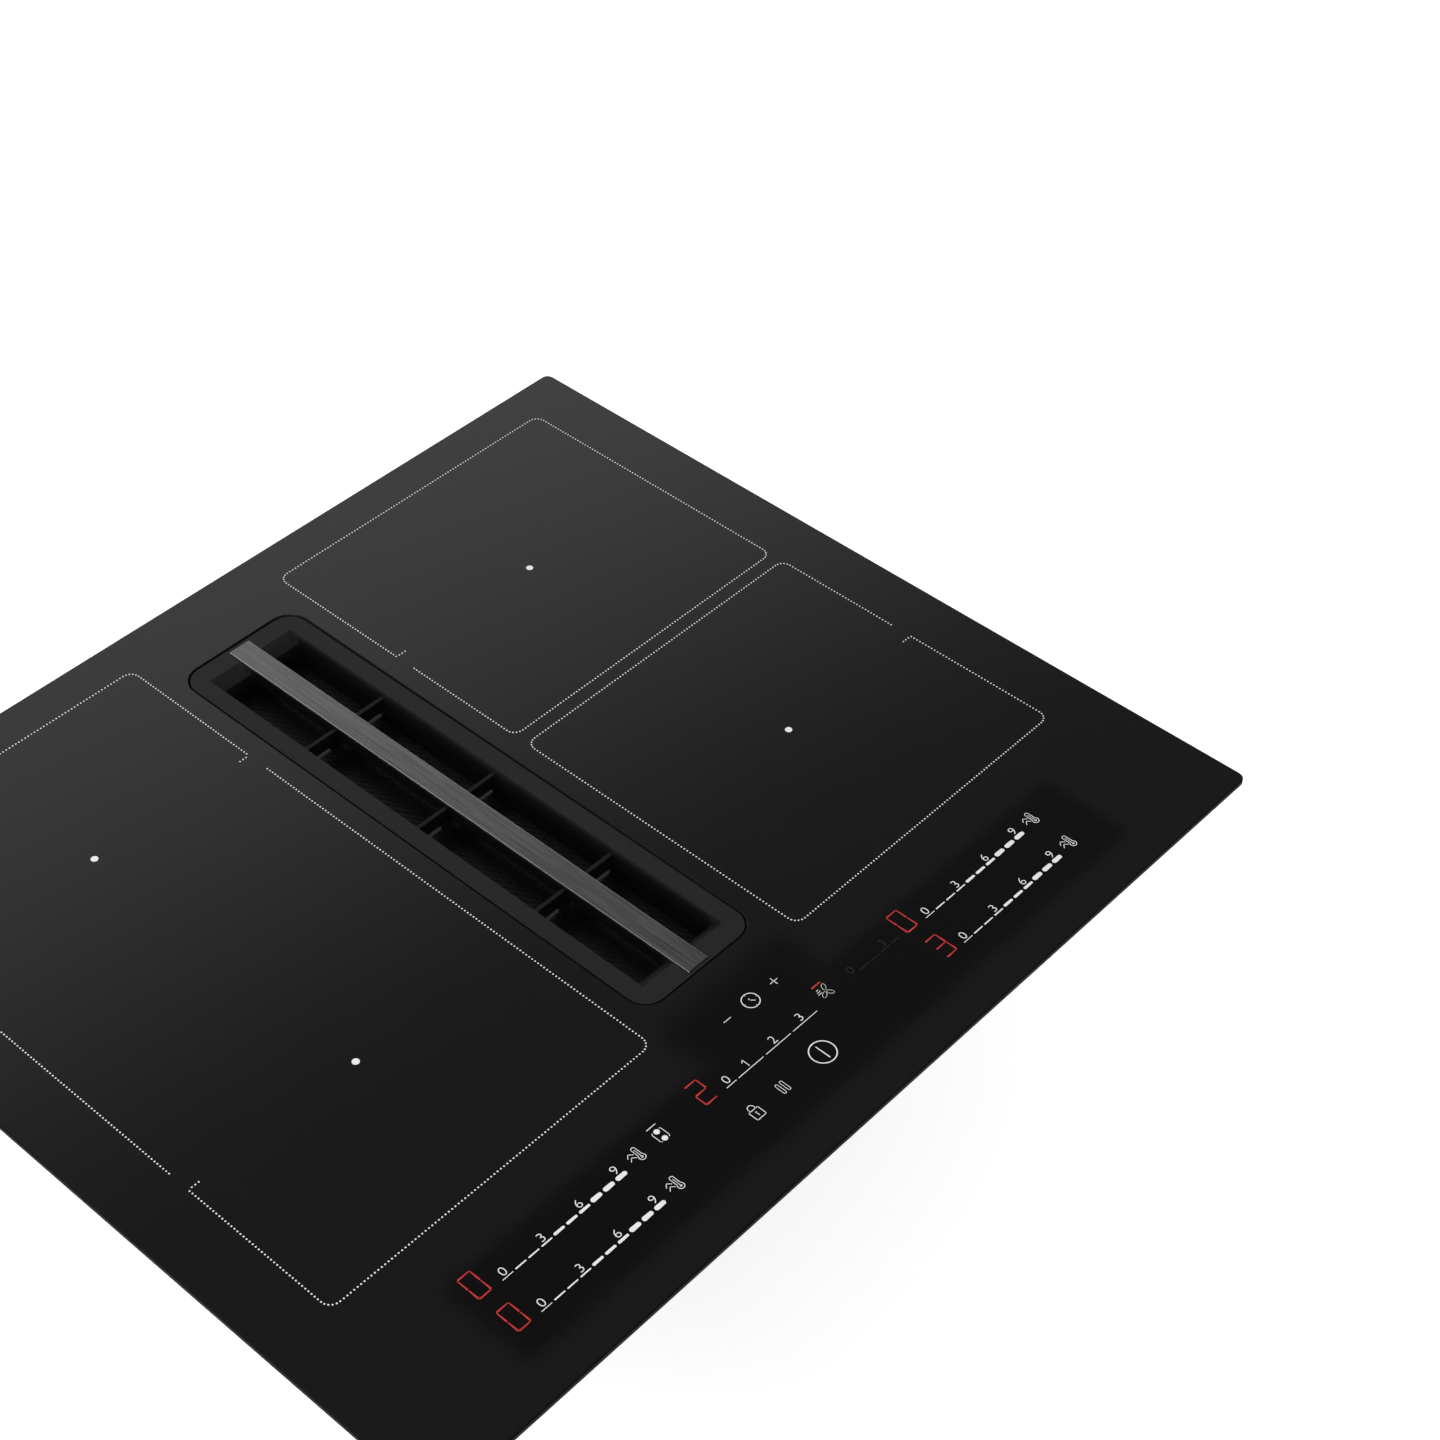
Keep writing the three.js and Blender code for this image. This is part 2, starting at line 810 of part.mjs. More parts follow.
function coilPlate(side) {
  const middle = side * coilX;
  const halfX = coilWidth / 2 + plateMargin;
  const halfY = coilFieldLength / 2 + plateMargin;
  const x0 = middle - halfX;
  const x1 = middle + halfX;
  const y0 = coilMiddleY - halfY;
  const y1 = coilMiddleY + halfY;
  const sheet = block(x0, x1, y0, y1, plateUnder, plateTop);
  const legs = [x0, x1 - plateSheet].map(
    (x) => block(x, x + plateSheet, y0, y1, trayFloor + seat, plateUnder + plateSheet / 2),
  );
  const eyes = [frontCoilY, rearCoilY].map(
    (y) => disc(coilEyeRadius / 2, plateUnder - 1, plateTop + 1, middle, y, 24),
  );
  return cut(join(sheet, ...legs), ...eyes);
}

function coilBase(x, y) {
  const rim = roundedRectangle(coilWidth / 2, coilLength / 2, coilCornerRadius, x, y);
  const top = coilBaseUnder + coilBaseThickness;
  const eye = coilEyeRadius / 2 + coilSleeve;
  const base = ringPlate(
    rim,
    roundedRectangle(eye, eye, coilEyeRadius / 2, x, y),
    coilBaseUnder,
    top,
  );
  const ferrites = [];
  for (let index = 0; index < ferriteCount; index += 1) {
    const angle = (index + 0.5) * 2 * Math.PI / ferriteCount;
    const bar = new THREE.BoxGeometry(ferriteLength, ferriteWidth, ferriteHeight + 1);
    bar.translate(coilEyeLength / 2 + ferriteLength / 2, 0, top + ferriteHeight / 2 - 0.5);
    bar.rotateZ(angle).translate(x, y, 0);
    ferrites.push(bar);
  }
  return join(base, ...ferrites);
}

function coilWinding(x, y) {
  return ringPlate(
    roundedRectangle(coilWidth / 2, coilLength / 2, coilCornerRadius, x, y),
    roundedRectangle(coilEyeWidth / 2, coilEyeLength / 2, coilEyeRadius, x, y),
    coilUnder,
    coilTop,
  );
}

function insulationMat(side) {
  const halfY = coilFieldLength / 2;
  return extrude(
    roundedRectangle(coilWidth / 2, halfY, coilCornerRadius / 2, side * coilX, coilMiddleY),
    coilTop + seat,
    coilTop + seat + matThickness,
  );
}

bothSides((name, side) => {
  const x = side * coilX;
  add(`coil_plate_${name}`, coilPlate(side), aluminium);
  [["front", frontCoilY], ["rear", rearCoilY]].forEach(([row, y]) => {
    add(`coil_base_${row}_${name}`, coilBase(x, y), greyPlastic);
    add(`coil_winding_${row}_${name}`, coilWinding(x, y), copper);
  });
  add(`insulation_mat_${name}`, insulationMat(side), ceramicFelt);
});

// ---------------------------------------------------------------- power boards and fans

function powerBoard(side) {
  const middle = side * coilX;
  const x0 = middle - boardWidth / 2;
  const y0 = boardMiddleY - boardLength / 2;
  const x1 = x0 + boardWidth;
  const y1 = y0 + boardLength;
  const board = block(x0, x1, y0, y1, boardUnder, boardTop);
  const foot = boardTop - boardThickness / 2; // where what stands on the board starts
  const parts = [];
  [x0 + boardPostInset, x1 - boardPostInset].forEach((x) => {
    [y0 + boardPostInset, y1 - boardPostInset].forEach((y) => {
      parts.push(disc(boardPostRadius, trayFloor + seat, foot, x, y, 8));
    });
  });
  const capacitorX = (side > 0 ? x1 : x0) - side * capacitorInset;
  for (let index = 0; index < capacitorCount; index += 1) {
    const y = y0 + capacitorStart + index * capacitorPitch;
    parts.push(disc(capacitorRadius, foot, boardTop + capacitorHeight, capacitorX, y, 12));
  }
  const chokeX = x0 + chokeSideInset;
  const chokeY = y0 + chokeFrontInset;
  const chokeTop = boardTop + chokeHeight;
  parts.push(block(chokeX, chokeX + chokeWidth, chokeY, chokeY + chokeLength, foot, chokeTop));
  return join(board, ...parts);
}

function heatSink(side) {
  const middle = side * coilX;
  const shape = new THREE.Shape();
  const half = sinkWidth / 2;
  const pitch = (sinkWidth - finThickness) / (finCount - 1);
  shape.moveTo(-half, 0);
  shape.lineTo(half, 0);
  for (let index = finCount - 1; index >= 0; index -= 1) {
    const x = -half + index * pitch;
    shape.lineTo(x + finThickness, sinkHeight);
    shape.lineTo(x, sinkHeight);
    if (index > 0) {
      shape.lineTo(x, sinkBase);
      shape.lineTo(x - pitch + finThickness, sinkBase);
    }
  }
  const comb = new THREE.ExtrudeGeometry(shape, { depth: sinkLength, bevelEnabled: false });
  comb.rotateX(Math.PI / 2);
  return comb.translate(middle, boardMiddleY + sinkLength / 2, boardTop + seat);
}

function fanFrame(side) {
  const x = side * fanCentreX;
  const under = trayFloor + seat;
  const square = roundedRectangle(fanSize / 2, fanSize / 2, fanCornerRadius, x, fanCentreY);
  const bore = disc(fanBore + slip, under - 1, under + fanHeight + 1, x, fanCentreY, 36);
  const frame = cut(extrude(square, under, under + fanHeight), bore);
  const hubPlate = disc(fanHub, under, under + fanSheet, x, fanCentreY, 24);
  const struts = [0, 1].map((turn) => {
    const strut = new THREE.BoxGeometry(2 * fanBore + fanStrutWidth, fanStrutWidth, fanSheet);
    strut.rotateZ(Math.PI / 4 + turn * Math.PI / 2);
    return strut.translate(x, fanCentreY, under + fanSheet / 2);
  });
  return join(frame, hubPlate, ...struts);
}

function fanRotor(side) {
  const x = side * fanCentreX;
  const under = trayFloor + seat + fanSheet + slip;
  const top = trayFloor + seat + fanHeight - fanSheet / 2;
  const overlap = fanBladeThickness; // of a blade with the hub
  const span = fanBore - fanHub + overlap;
  const blades = [];
  for (let index = 0; index < fanBladeCount; index += 1) {
    const blade = new THREE.BoxGeometry(span, fanBladeThickness, top - under);
    blade.rotateX(radians(fanBladePitch));
    blade.translate(fanHub - overlap + span / 2, 0, 0);
    blade.rotateZ(index * 2 * Math.PI / fanBladeCount);
    blades.push(blade.translate(x, fanCentreY, (under + top) / 2));
  }
  return join(disc(fanHub, under, top, x, fanCentreY, 24), ...blades);
}

bothSides((name, side) => {
  add(`power_board_${name}`, powerBoard(side), circuitBoard);
  add(`heat_sink_${name}`, heatSink(side), aluminium);
  add(`cooling_fan_frame_${name}`, fanFrame(side), blackPlastic);
  add(`cooling_fan_rotor_${name}`, fanRotor(side), blackPlastic);
});

// ---------------------------------------------------------------- touch controls

const controlTop = glassUnder - seat - displayHeight - controlBoardThickness - seat;

function controlCarrier() {
  const x = controlWidth / 2;
  const y0 = controlMiddleY - controlDepth / 2;
  const y1 = controlMiddleY + controlDepth / 2;
  const outer = block(-x, x, y0, y1, trayFloor + seat, controlTop);
  const inner = block(
    -x - 1,
    x + 1,
    y0 + controlSheet,
    y1 - controlSheet,
    trayFloor - 1,
    controlTop - controlSheet,
  );
  return cut(outer, inner);
}

function controlBoard() {
  const x = controlWidth / 2 - controlSheet;
  const y = controlDepth / 2 - controlSheet;
  const under = controlTop + seat;
  const top = under + controlBoardThickness;
  const board = block(-x, x, controlMiddleY - y, controlMiddleY + y, under, top);
  const outerDisplayX = -x + displayEndMargin;
  const rearRow = [outerDisplayX, fanDisplayX, innerDisplayX].map((place) => [place, 0]);
  const frontRow = [outerDisplayX, innerDisplayX].map((place) => [place, 1]);
  const displays = [...rearRow, ...frontRow].map(([displayX, row]) => {
    const displayY = controlMiddleY + displayRowShift - row * displayRowPitch;
    return block(
      displayX - displayWidth / 2,
      displayX + displayWidth / 2,
      Math.max(displayY - displayDepth / 2, controlMiddleY - y),
      displayY + displayDepth / 2,
      top - controlBoardThickness / 2,
      top + displayHeight,
    );
  });
  return join(board, ...displays);
}

add("control_carrier", controlCarrier(), greyPlastic);
add("touch_board", controlBoard(), circuitBoard);

// ---------------------------------------------------------------- blower

function spiral(grow) {
  const shape = new THREE.Shape();
  for (let index = 0; index <= scrollSteps; index += 1) {
    const share = index / scrollSteps;
    const angle = tongueAngle + share * (360 - tongueAngle);
    const radius = scrollRadius(angle) + grow;
    const x = radius * Math.cos(radians(angle));
    const y = blowerY + radius * Math.sin(radians(angle));
    if (index === 0) shape.moveTo(x, y);
    else shape.lineTo(x, y);
  }
  shape.closePath();
  return shape;
}

function outletPath(grow) {
  const tongueX = scrollStartRadius * Math.cos(radians(tongueAngle));
  const tongueY = scrollStartRadius * Math.sin(radians(tongueAngle));
  const ductInside = ductWidth / 2 - ductSheet;
  const shape = new THREE.Shape();
  shape.moveTo(0, blowerY);
  shape.lineTo(scrollEndRadius + grow, blowerY);
  shape.lineTo(scrollEndRadius + grow, blowerY + outletShoulder);
  shape.lineTo(ductCentreX + ductInside + grow, outletY);
  shape.lineTo(ductCentreX - ductInside - grow, outletY);
  shape.lineTo(tongueX - 1.2 * grow, blowerY + tongueY - 1.2 * grow);
  shape.closePath();
  return shape;
}

function scroll(grow, z0, z1) {
  return join(extrude(spiral(grow), z0, z1), extrude(outletPath(grow), z0, z1));
}

// The run of the outlet past its open end, which opens the shell there.
function outletMouth(z0, z1) {
  const half = ductWidth / 2 - ductSheet;
  return block(ductCentreX - half, ductCentreX + half, outletY - 1, outletY + 1, z0, z1);
}

// What the flange would add behind the outlet, where the duct collar is seated.
function outletEnd() {
  const half = ductWidth / 2 + 2 * blowerFlange;
  const back = outletY + 2 * blowerFlange;
  return block(ductCentreX - half, ductCentreX + half, outletY, back, -1, blowerHeight + 1);
}

const blowerSplit = blowerHeight / 2;

// Upright ribs on the round wall of a shell.
function shellRibs(z0, z1) {
  const ribs = [];
  const last = 360 - tongueAngle / 4;
  const first = tongueAngle * 1.5;
  for (let index = 0; index < shellRibCount; index += 1) {
    const angle = first + index * (last - first) / (shellRibCount - 1);
    const inner = scrollRadius(angle) + blowerWall / 2;
    const length = blowerWall / 2 + shellRibReach;
    const rib = block(inner, inner + length, -shellRibThickness / 2, shellRibThickness / 2, z0, z1);
    ribs.push(rib.rotateZ(radians(angle)).translate(0, blowerY, 0));
  }
  return ribs;
}

function blowerLowerShell() {
  const flangeUnder = blowerSplit - blowerFlangeThickness;
  const outside = join(
    scroll(blowerWall, 0, blowerSplit),
    scroll(blowerWall + blowerFlange, flangeUnder, blowerSplit),
    ...shellRibs(0, blowerSplit),
  );
  return cut(
    outside,
    scroll(0, blowerWall, blowerSplit + 1),
    outletMouth(blowerWall, blowerSplit + 1),
    outletEnd(),
  );
}

function blowerUpperShell() {
  const under = blowerSplit + seat;
  const outside = join(
    scroll(blowerWall, under, blowerHeight),
    scroll(blowerWall + blowerFlange, under, under + blowerFlangeThickness),
    ...shellRibs(under, blowerHeight),
  );
  return cut(
    outside,
    scroll(0, blowerSplit - 1, blowerHeight - blowerWall),
    outletMouth(blowerSplit - 1, blowerHeight - blowerWall),
    outletEnd(),
    disc(inletHole, blowerHeight - blowerWall - 1, blowerHeight + 1, 0, blowerY, latheSides),
  );
}

// A flared ring in the inlet hole, turned about the wheel's axis.
function inletRing() {
  const edge = inletHole - seat;
  const top = blowerHeight;
  const profile = [
    [inletRadius + inletFlare, top],
    [edge, top],
    [edge, top - blowerWall],
    [inletRadius - inletFlare + inletSheet, top - inletLip],
    [inletRadius - inletFlare, top - inletLip],
    [inletRadius, top - blowerWall],
  ];
  return turn(profile, latheSides).translate(0, blowerY, 0);
}

function wheelBlade(index) {
  const shape = new THREE.Shape();
  const sweep = radians(bladeSweep) / 2;
  const outline = (offset) => {
    const points = [];
    for (let step = 0; step <= bladeSteps; step += 1) {
      const share = step / bladeSteps;
      const radius = wheelInnerRadius + share * (wheelRadius - wheelInnerRadius);
      const angle = sweep * share * share + offset / radius;
      points.push([radius * Math.cos(angle), radius * Math.sin(angle)]);
    }
    return points;
  };
  const points = [...outline(-bladeThickness / 2), ...outline(bladeThickness / 2).reverse()];
  points.forEach(([x, y], at) => (at === 0 ? shape.moveTo(x, y) : shape.lineTo(x, y)));
  shape.closePath();
  const blade = extrude(shape, wheelFloor + wheelSheet / 2, wheelTop - wheelSheet / 2);
  return blade.rotateZ(index * 2 * Math.PI / bladeCount);
}

function impeller() {
  const motorBore = motorRadius + motorClearance;
  const cup = [
    [shaftRadius + seat, hubTop],
    [hubRadius - hubCorner, hubTop],
    [hubRadius, hubTop - hubCorner],
    [hubRadius, wheelFloor + wheelSheet],
    [wheelRadius, wheelFloor + wheelSheet],
    [wheelRadius, wheelFloor],
    [motorBore, wheelFloor],
    [motorBore, hubTop - wheelSheet],
    [shaftRadius + seat, hubTop - wheelSheet],
  ];
  const shroud = [
    [wheelRadius, wheelTop],
    [wheelRadius, wheelTop - wheelSheet],
    [wheelInnerRadius, wheelTop - wheelSheet],
    [wheelInnerRadius, wheelTop],
  ];
  const blades = [];
  for (let index = 0; index < bladeCount; index += 1) blades.push(wheelBlade(index));
  return join(turn(cup, latheSides), turn(shroud, latheSides), ...blades).translate(0, blowerY, 0);
}

function blowerMotor() {
  const floor = blowerWall + seat;
  const top = floor + motorHeight;
  const foot = disc(motorRadius - motorFootInset, floor, floor + motorFootHeight, 0, blowerY, 24);
  const body = disc(motorRadius, floor + motorFootHeight, top, 0, blowerY, 24);
  const socket = disc(shaftRadius + seat, floor + motorFloor, top + 1, 0, blowerY, 16);
  return cut(join(foot, body), socket);
}

function blowerShaft() {
  const shaftUnder = blowerWall + seat + motorFloor + seat;
  return disc(shaftRadius, shaftUnder, hubTop, 0, blowerY, 16);
}

function ductCollar() {
  const half = ductWidth / 2;
  const middle = blowerHeight / 2;
  const low = middle - ductHeight / 2;
  const high = middle + ductHeight / 2;
  const front = outletY + seat;
  const back = front + ductFlangeThickness;
  const flange = block(
    ductCentreX - half - ductFlange,
    ductCentreX + half + ductFlange,
    front,
    back,
    0,
    blowerHeight,
  );
  const spigot = block(ductCentreX - half, ductCentreX + half, back - 1, back + ductSpigot, low, high);
  const beadY = back + ductSpigot - ductBeadInset;
  const bead = block(
    ductCentreX - half - ductBead,
    ductCentreX + half + ductBead,
    beadY - ductBeadWidth,
    beadY,
    low - ductBead,
    high + ductBead,
  );
  const bore = block(
    ductCentreX - half + ductSheet,
    ductCentreX + half - ductSheet,
    front - 1,
    back + ductSpigot + 1,
    low + ductSheet,
    high - ductSheet,
  );
  return cut(join(flange, spigot, bead), bore);
}

add("blower_lower_shell", blowerLowerShell(), blackPlastic);
add("blower_upper_shell", blowerUpperShell(), blackPlastic);
add("inlet_ring", inletRing(), zincSteel);
add("impeller", impeller(), greyPlastic);
add("blower_motor", blowerMotor(), zincSteel);
add("blower_shaft", blowerShaft(), zincSteel);
add("duct_collar", ductCollar(), blackPlastic);

// ---------------------------------------------------------------- plenum and sump

function plenumBody(shrink, z0, z1) {
  const rearHalf = plenumRearLength / 2;
  const rearMiddle = plenumBack - rearHalf;
  const rear = roundedRectangle(
    plenumRearHalf - shrink,
    rearHalf - shrink,
    plenumRearCorner - shrink,
    0,
    rearMiddle,
  );
  const frontMiddle = (plenumFront + rearMiddle) / 2;
  const frontHalf = (rearMiddle - plenumFront) / 2;
  const front = roundedRectangle(
    plenumFrontHalf - shrink,
    frontHalf - shrink,
    plenumFrontCorner - shrink,
    0,
    frontMiddle,
  );
  return join(extrude(rear, z0, z1), extrude(front, z0, z1));
}

function plenumRibs(z0, z1) {
  const ribs = [];
  const first = plenumBack - plenumRearCorner - plenumRibThickness;
  const last = plenumBack - plenumRearLength + plenumRearCorner;
  for (let index = 0; index < plenumRibCount; index += 1) {
    const y = first + index * (last - first) / (plenumRibCount - 1);
    const x = plenumRearHalf - plenumWall / 2;
    const reach = plenumRearHalf + plenumRibReach;
    ribs.push(block(x, reach, y, y + plenumRibThickness, z0, z1));
    ribs.push(block(-reach, -x, y, y + plenumRibThickness, z0, z1));
  }
  return ribs;
}

function plenumTub() {
  const walls = join(
    plenumBody(0, plenumUnder, plenumTubTop),
    plenumBody(-plenumFlange, plenumTubTop - plenumWall, plenumTubTop),
    ...plenumRibs(plenumUnder, plenumTubTop - plenumWall / 2),
  );
  const shell = cut(
    walls,
    plenumBody(plenumWall, plenumUnder + plenumWall, plenumTubTop + 1),
    disc(inletHole, plenumUnder - 1, plenumUnder + plenumWall + 1, 0, blowerY, latheSides),
  );
  const spout = disc(drainRadius, plenumUnder - drainLength, plenumUnder + plenumWall, 0, drainY, 24);
  const spoutBore = disc(
    drainRadius - sumpWall,
    plenumUnder - drainLength - 1,
    plenumUnder + plenumWall + 1,
    0,
    drainY,
    24,
  );
  return cut(join(shell, spout), spoutBore);
}

function plenumCover() {
  const holeX = ductHalfX + slip;
  const holeY = ductHalfY + slip;
  const hole = block(
    -holeX,
    holeX,
    grilleCentreY - holeY,
    grilleCentreY + holeY,
    plenumCoverUnder - 1,
    plenumTop + 1,
  );
  return cut(plenumBody(-plenumFlange, plenumCoverUnder, plenumTop), hole);
}

function sumpHousing() {
  const half = sumpWidth / 2;
  const box = block(-half, half, sumpFront, sumpBack, 0, blowerHeight);
  const inside = block(
    -half + sumpWall,
    half - sumpWall,
    sumpFront - 1,
    sumpBack - sumpWall,
    sumpWall,
    blowerHeight - sumpWall,
  );
  const drainHole = disc(drainRadius + slip, blowerHeight - sumpWall - 1, blowerHeight + 1, 0, drainY, 24);
  return cut(box, inside, drainHole);
}

function overflowContainer() {
  const half = sumpWidth / 2 - sumpWall - slip;
  const floor = sumpWall + seat;
  const back = sumpBack - sumpWall - slip;
  const body = block(-half, half, sumpFront, back, floor, floor + containerHeight);
  const inside = block(
    -half + containerWall,
    half - containerWall,
    sumpFront + containerWall,
    back - containerWall,
    floor + containerWall,
    floor + containerHeight + 1,
  );
  const panelBack = sumpFront - seat;
  const panelFront = panelBack - frontPanelThickness;
  const panel = block(-sumpWidth / 2, sumpWidth / 2, panelFront, panelBack, seat, blowerHeight - seat);
  const neck = block(-half, half, panelBack - 1, sumpFront + 1, floor, floor + containerHeight);
  const grip = block(
    -half / 2,
    half / 2,
    panelFront - 1,
    panelBack + 1,
    blowerHeight - gripTopMargin - gripHeight,
    blowerHeight - gripTopMargin,
  );
  return cut(join(cut(body, inside), panel, neck), grip);
}

add("plenum_tub", plenumTub(), blackPlastic);
add("plenum_cover", plenumCover(), blackPlastic);
add("sump_housing", sumpHousing(), blackPlastic);
add("overflow_container", overflowContainer(), greyPlastic);

// ---------------------------------------------------------------- mains terminal box

const terminalTop = trayUnder - seat;
const terminalUnder = terminalTop - terminalHeight;
const glandZ = (terminalTop + terminalUnder) / 2;

function terminalBox() {
  const x0 = terminalX - terminalWidth / 2;
  const x1 = terminalX + terminalWidth / 2;
  const y0 = terminalY - terminalDepth / 2;
  const y1 = terminalY + terminalDepth / 2;
  const box = block(x0, x1, y0, y1, terminalUnder, terminalTop);
  const inside = block(
    x0 + terminalWall,
    x1 - terminalWall,
    y0 + terminalWall,
    y1 - terminalWall,
    terminalUnder - 1,
    terminalTop - terminalWall,
  );
  const inlet = new THREE.CylinderGeometry(glandThreadRadius, glandThreadRadius, 4 * terminalWall, 20);
  inlet.translate(terminalX, y1, glandZ);
  return cut(box, inside, inlet);
}

function terminalCover() {
  const halfX = terminalWidth / 2;
  const halfY = terminalDepth / 2;
  const plate = roundedRectangle(halfX, halfY, terminalCoverCorner, terminalX, terminalY);
  const top = terminalUnder - seat;
  return extrude(plate, top - coverThickness, top);
}

function cableGland() {
  const face = terminalY + terminalDepth / 2;
  const throat = glandThreadRadius - seat;
  const profile = [
    [glandBore, -terminalWall],
    [throat, -terminalWall],
    [throat, seat],
    [glandRadius, seat],
    [glandRadius, glandNutLength],
    [glandNoseRadius, glandLength],
    [glandBore, glandLength],
  ];
  return turn(profile, 16).rotateX(-Math.PI / 2).translate(terminalX, face, glandZ);
}

add("terminal_box", terminalBox(), blackPlastic);
add("terminal_cover", terminalCover(), blackPlastic);
add("cable_gland", cableGland(), blackPlastic);

// ---------------------------------------------------------------- worktop clamps

function clampPiece(side, end) {
  const toeTop = sealUnder - clampDrop;
  const armTop = toeTop - clampToe;
  const x = side * clampX;
  const y = end * clampY;
  const half = clampWidth / 2;
  const far = y - end * clampArm;
  const armUnder = armTop - clampThickness;
  const arm = block(x - half, x + half, Math.min(y, far), Math.max(y, far), armUnder, armTop);
  const roundEnd = disc(half, armUnder, armTop, x, y, 24);
  const toe = block(
    x - half,
    x + half,
    Math.min(far, far + end * clampThickness),
    Math.max(far, far + end * clampThickness),
    armTop - clampThickness / 2,
    toeTop,
  );
  const hole = disc(screwRadius + seat, armUnder - 1, armTop + 1, x, y, 16);
  return cut(join(arm, roundEnd, toe), hole);
}

function clampScrew(side, end) {
  const armUnder = sealUnder - clampDrop - clampToe - clampThickness;
  const headTop = armUnder - seat;
  const x = side * clampX;
  const y = end * clampY;
  const shank = disc(screwRadius, headTop - 1, carrierUnder - seat, x, y, 16);
  return join(shank, disc(screwHead, headTop - screwHeadHeight, headTop, x, y, 6));
}

bothSides((name, side) => {
  [["front", -1], ["rear", 1]].forEach(([row, end]) => {
    add(`clamp_${row}_${name}`, clampPiece(side, end), zincSteel);
    add(`clamp_screw_${row}_${name}`, clampScrew(side, end), zincSteel);
  });
});

export default cooktop;
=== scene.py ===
# %% [markdown]
# # A downdraft induction cooktop
#
# A black glass panel carries printed cooking zones, touch controls and, in its middle, a
# moulded grille that draws the air down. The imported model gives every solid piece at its
# real size. This file dresses those pieces and adds what is printed, pressed or screwed on.

# %% Load the frame
import json
import math
import bmesh
import bpy
from mathutils import Matrix, Vector

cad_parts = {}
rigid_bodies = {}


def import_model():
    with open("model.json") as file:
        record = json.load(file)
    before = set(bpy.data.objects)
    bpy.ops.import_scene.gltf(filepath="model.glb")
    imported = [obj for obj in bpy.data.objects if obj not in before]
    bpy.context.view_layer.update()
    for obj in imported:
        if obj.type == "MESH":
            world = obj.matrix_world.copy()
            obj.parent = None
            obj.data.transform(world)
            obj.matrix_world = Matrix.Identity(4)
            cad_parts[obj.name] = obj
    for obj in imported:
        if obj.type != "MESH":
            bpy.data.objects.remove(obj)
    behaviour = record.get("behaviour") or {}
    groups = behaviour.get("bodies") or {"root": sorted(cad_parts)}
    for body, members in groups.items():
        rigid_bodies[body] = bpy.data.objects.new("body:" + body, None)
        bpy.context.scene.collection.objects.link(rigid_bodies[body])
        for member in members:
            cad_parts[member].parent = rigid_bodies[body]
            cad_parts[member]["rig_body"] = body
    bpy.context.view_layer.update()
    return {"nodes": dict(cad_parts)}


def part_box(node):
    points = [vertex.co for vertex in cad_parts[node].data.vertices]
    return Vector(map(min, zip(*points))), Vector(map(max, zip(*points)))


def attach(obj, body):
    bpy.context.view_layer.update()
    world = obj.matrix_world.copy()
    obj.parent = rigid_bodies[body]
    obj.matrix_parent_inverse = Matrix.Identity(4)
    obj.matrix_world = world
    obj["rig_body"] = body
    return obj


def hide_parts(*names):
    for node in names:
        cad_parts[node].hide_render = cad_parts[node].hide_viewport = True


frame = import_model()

nodes = frame["nodes"]
print(len(nodes), "nodes from the packed model")

# %% [markdown]
# ## Sizes
#
# Blender works in metres and this file thinks in millimetres, so one constant turns the one
# into the other. Levels and middles come from the frame, so they follow the model when it
# changes.

# %% Levels and middles from the frame
MM = 0.001
glass_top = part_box("glass_panel")[1].z
grille_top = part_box("grille_frame")[1].z
bar_low, bar_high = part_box("grille_bar")


def middle_of(node_name):
    """The middle of a node's box, in millimetres."""
    low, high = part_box(node_name)
    return (low + high) / 2 / MM


grille_middle = middle_of("grille_frame")
print("glass top at", round(glass_top / MM, 1), "mm")

# %% [markdown]
# ## Camera
#
# The four straight edges of the glass in the photograph fix the camera: a short telephoto
# lens about 1.5 m away, above the front left of the cooktop and turned by a trace of roll.
# A matrix built from three plain angles says this more clearly than a quaternion would. The
# Standard view shows colours as their codes say.

# %% Camera at the photograph's angle
camera_place = Vector((-0.6910, -0.7596, 1.2563))
camera_heading = math.radians(48.499)
camera_tilt = math.radians(43.423)
camera_roll = math.radians(1.013)
focal_length_mm = 70.741
sensor_width_mm = 36

camera_data = bpy.data.cameras.new("camera")
camera_data.sensor_width = sensor_width_mm
camera_data.lens = focal_length_mm
camera = bpy.data.objects.new("camera", camera_data)
bpy.context.scene.collection.objects.link(camera)
turned = Matrix.Rotation(-camera_heading, 4, "Z")
tilted = Matrix.Rotation(math.pi / 2 - camera_tilt, 4, "X")
rolled = Matrix.Rotation(camera_roll, 4, "Z")
camera.matrix_world = Matrix.Translation(camera_place) @ turned @ tilted @ rolled
bpy.context.scene.camera = camera
bpy.context.scene.view_settings.view_transform = "Standard"
print("camera at", [round(metres, 2) for metres in camera_place], "m")

# %% [markdown]
# ## Colour and nodes
#
# Colour pickers and paint charts give sRGB codes, and shader nodes want linear light. One
# function does the conversion. Another adds a node, sets it up and links it, which keeps
# each material down to the lines that say what it looks like.

# %% Helpers for nodes
def linear(code):
    """Turns an sRGB hex code into the linear colour that a shader wants."""
    channels = [int(code[start:start + 2], 16) / 255 for start in (1, 3, 5)]
    bent = [c / 12.92 if c <= 0.04045 else ((c + 0.055) / 1.055) ** 2.4 for c in channels]
    return (*bent, 1.0)


def add_node(tree, kind, values=None, links=None, **settings):
    """Adds a node, with its settings, its unlinked values and the sockets linked into it."""
    node = tree.nodes.new(kind)
    for name, setting in settings.items():
        setattr(node, name, setting)
    for name, value in (values or {}).items():
        node.inputs[name].default_value = value
    for name, socket in (links or {}).items():
        tree.links.new(socket, node.inputs[name])
    return node


def per_mm(size):
    """The scale that makes a texture's features about this many millimetres wide."""
    return 1 / (size * MM)


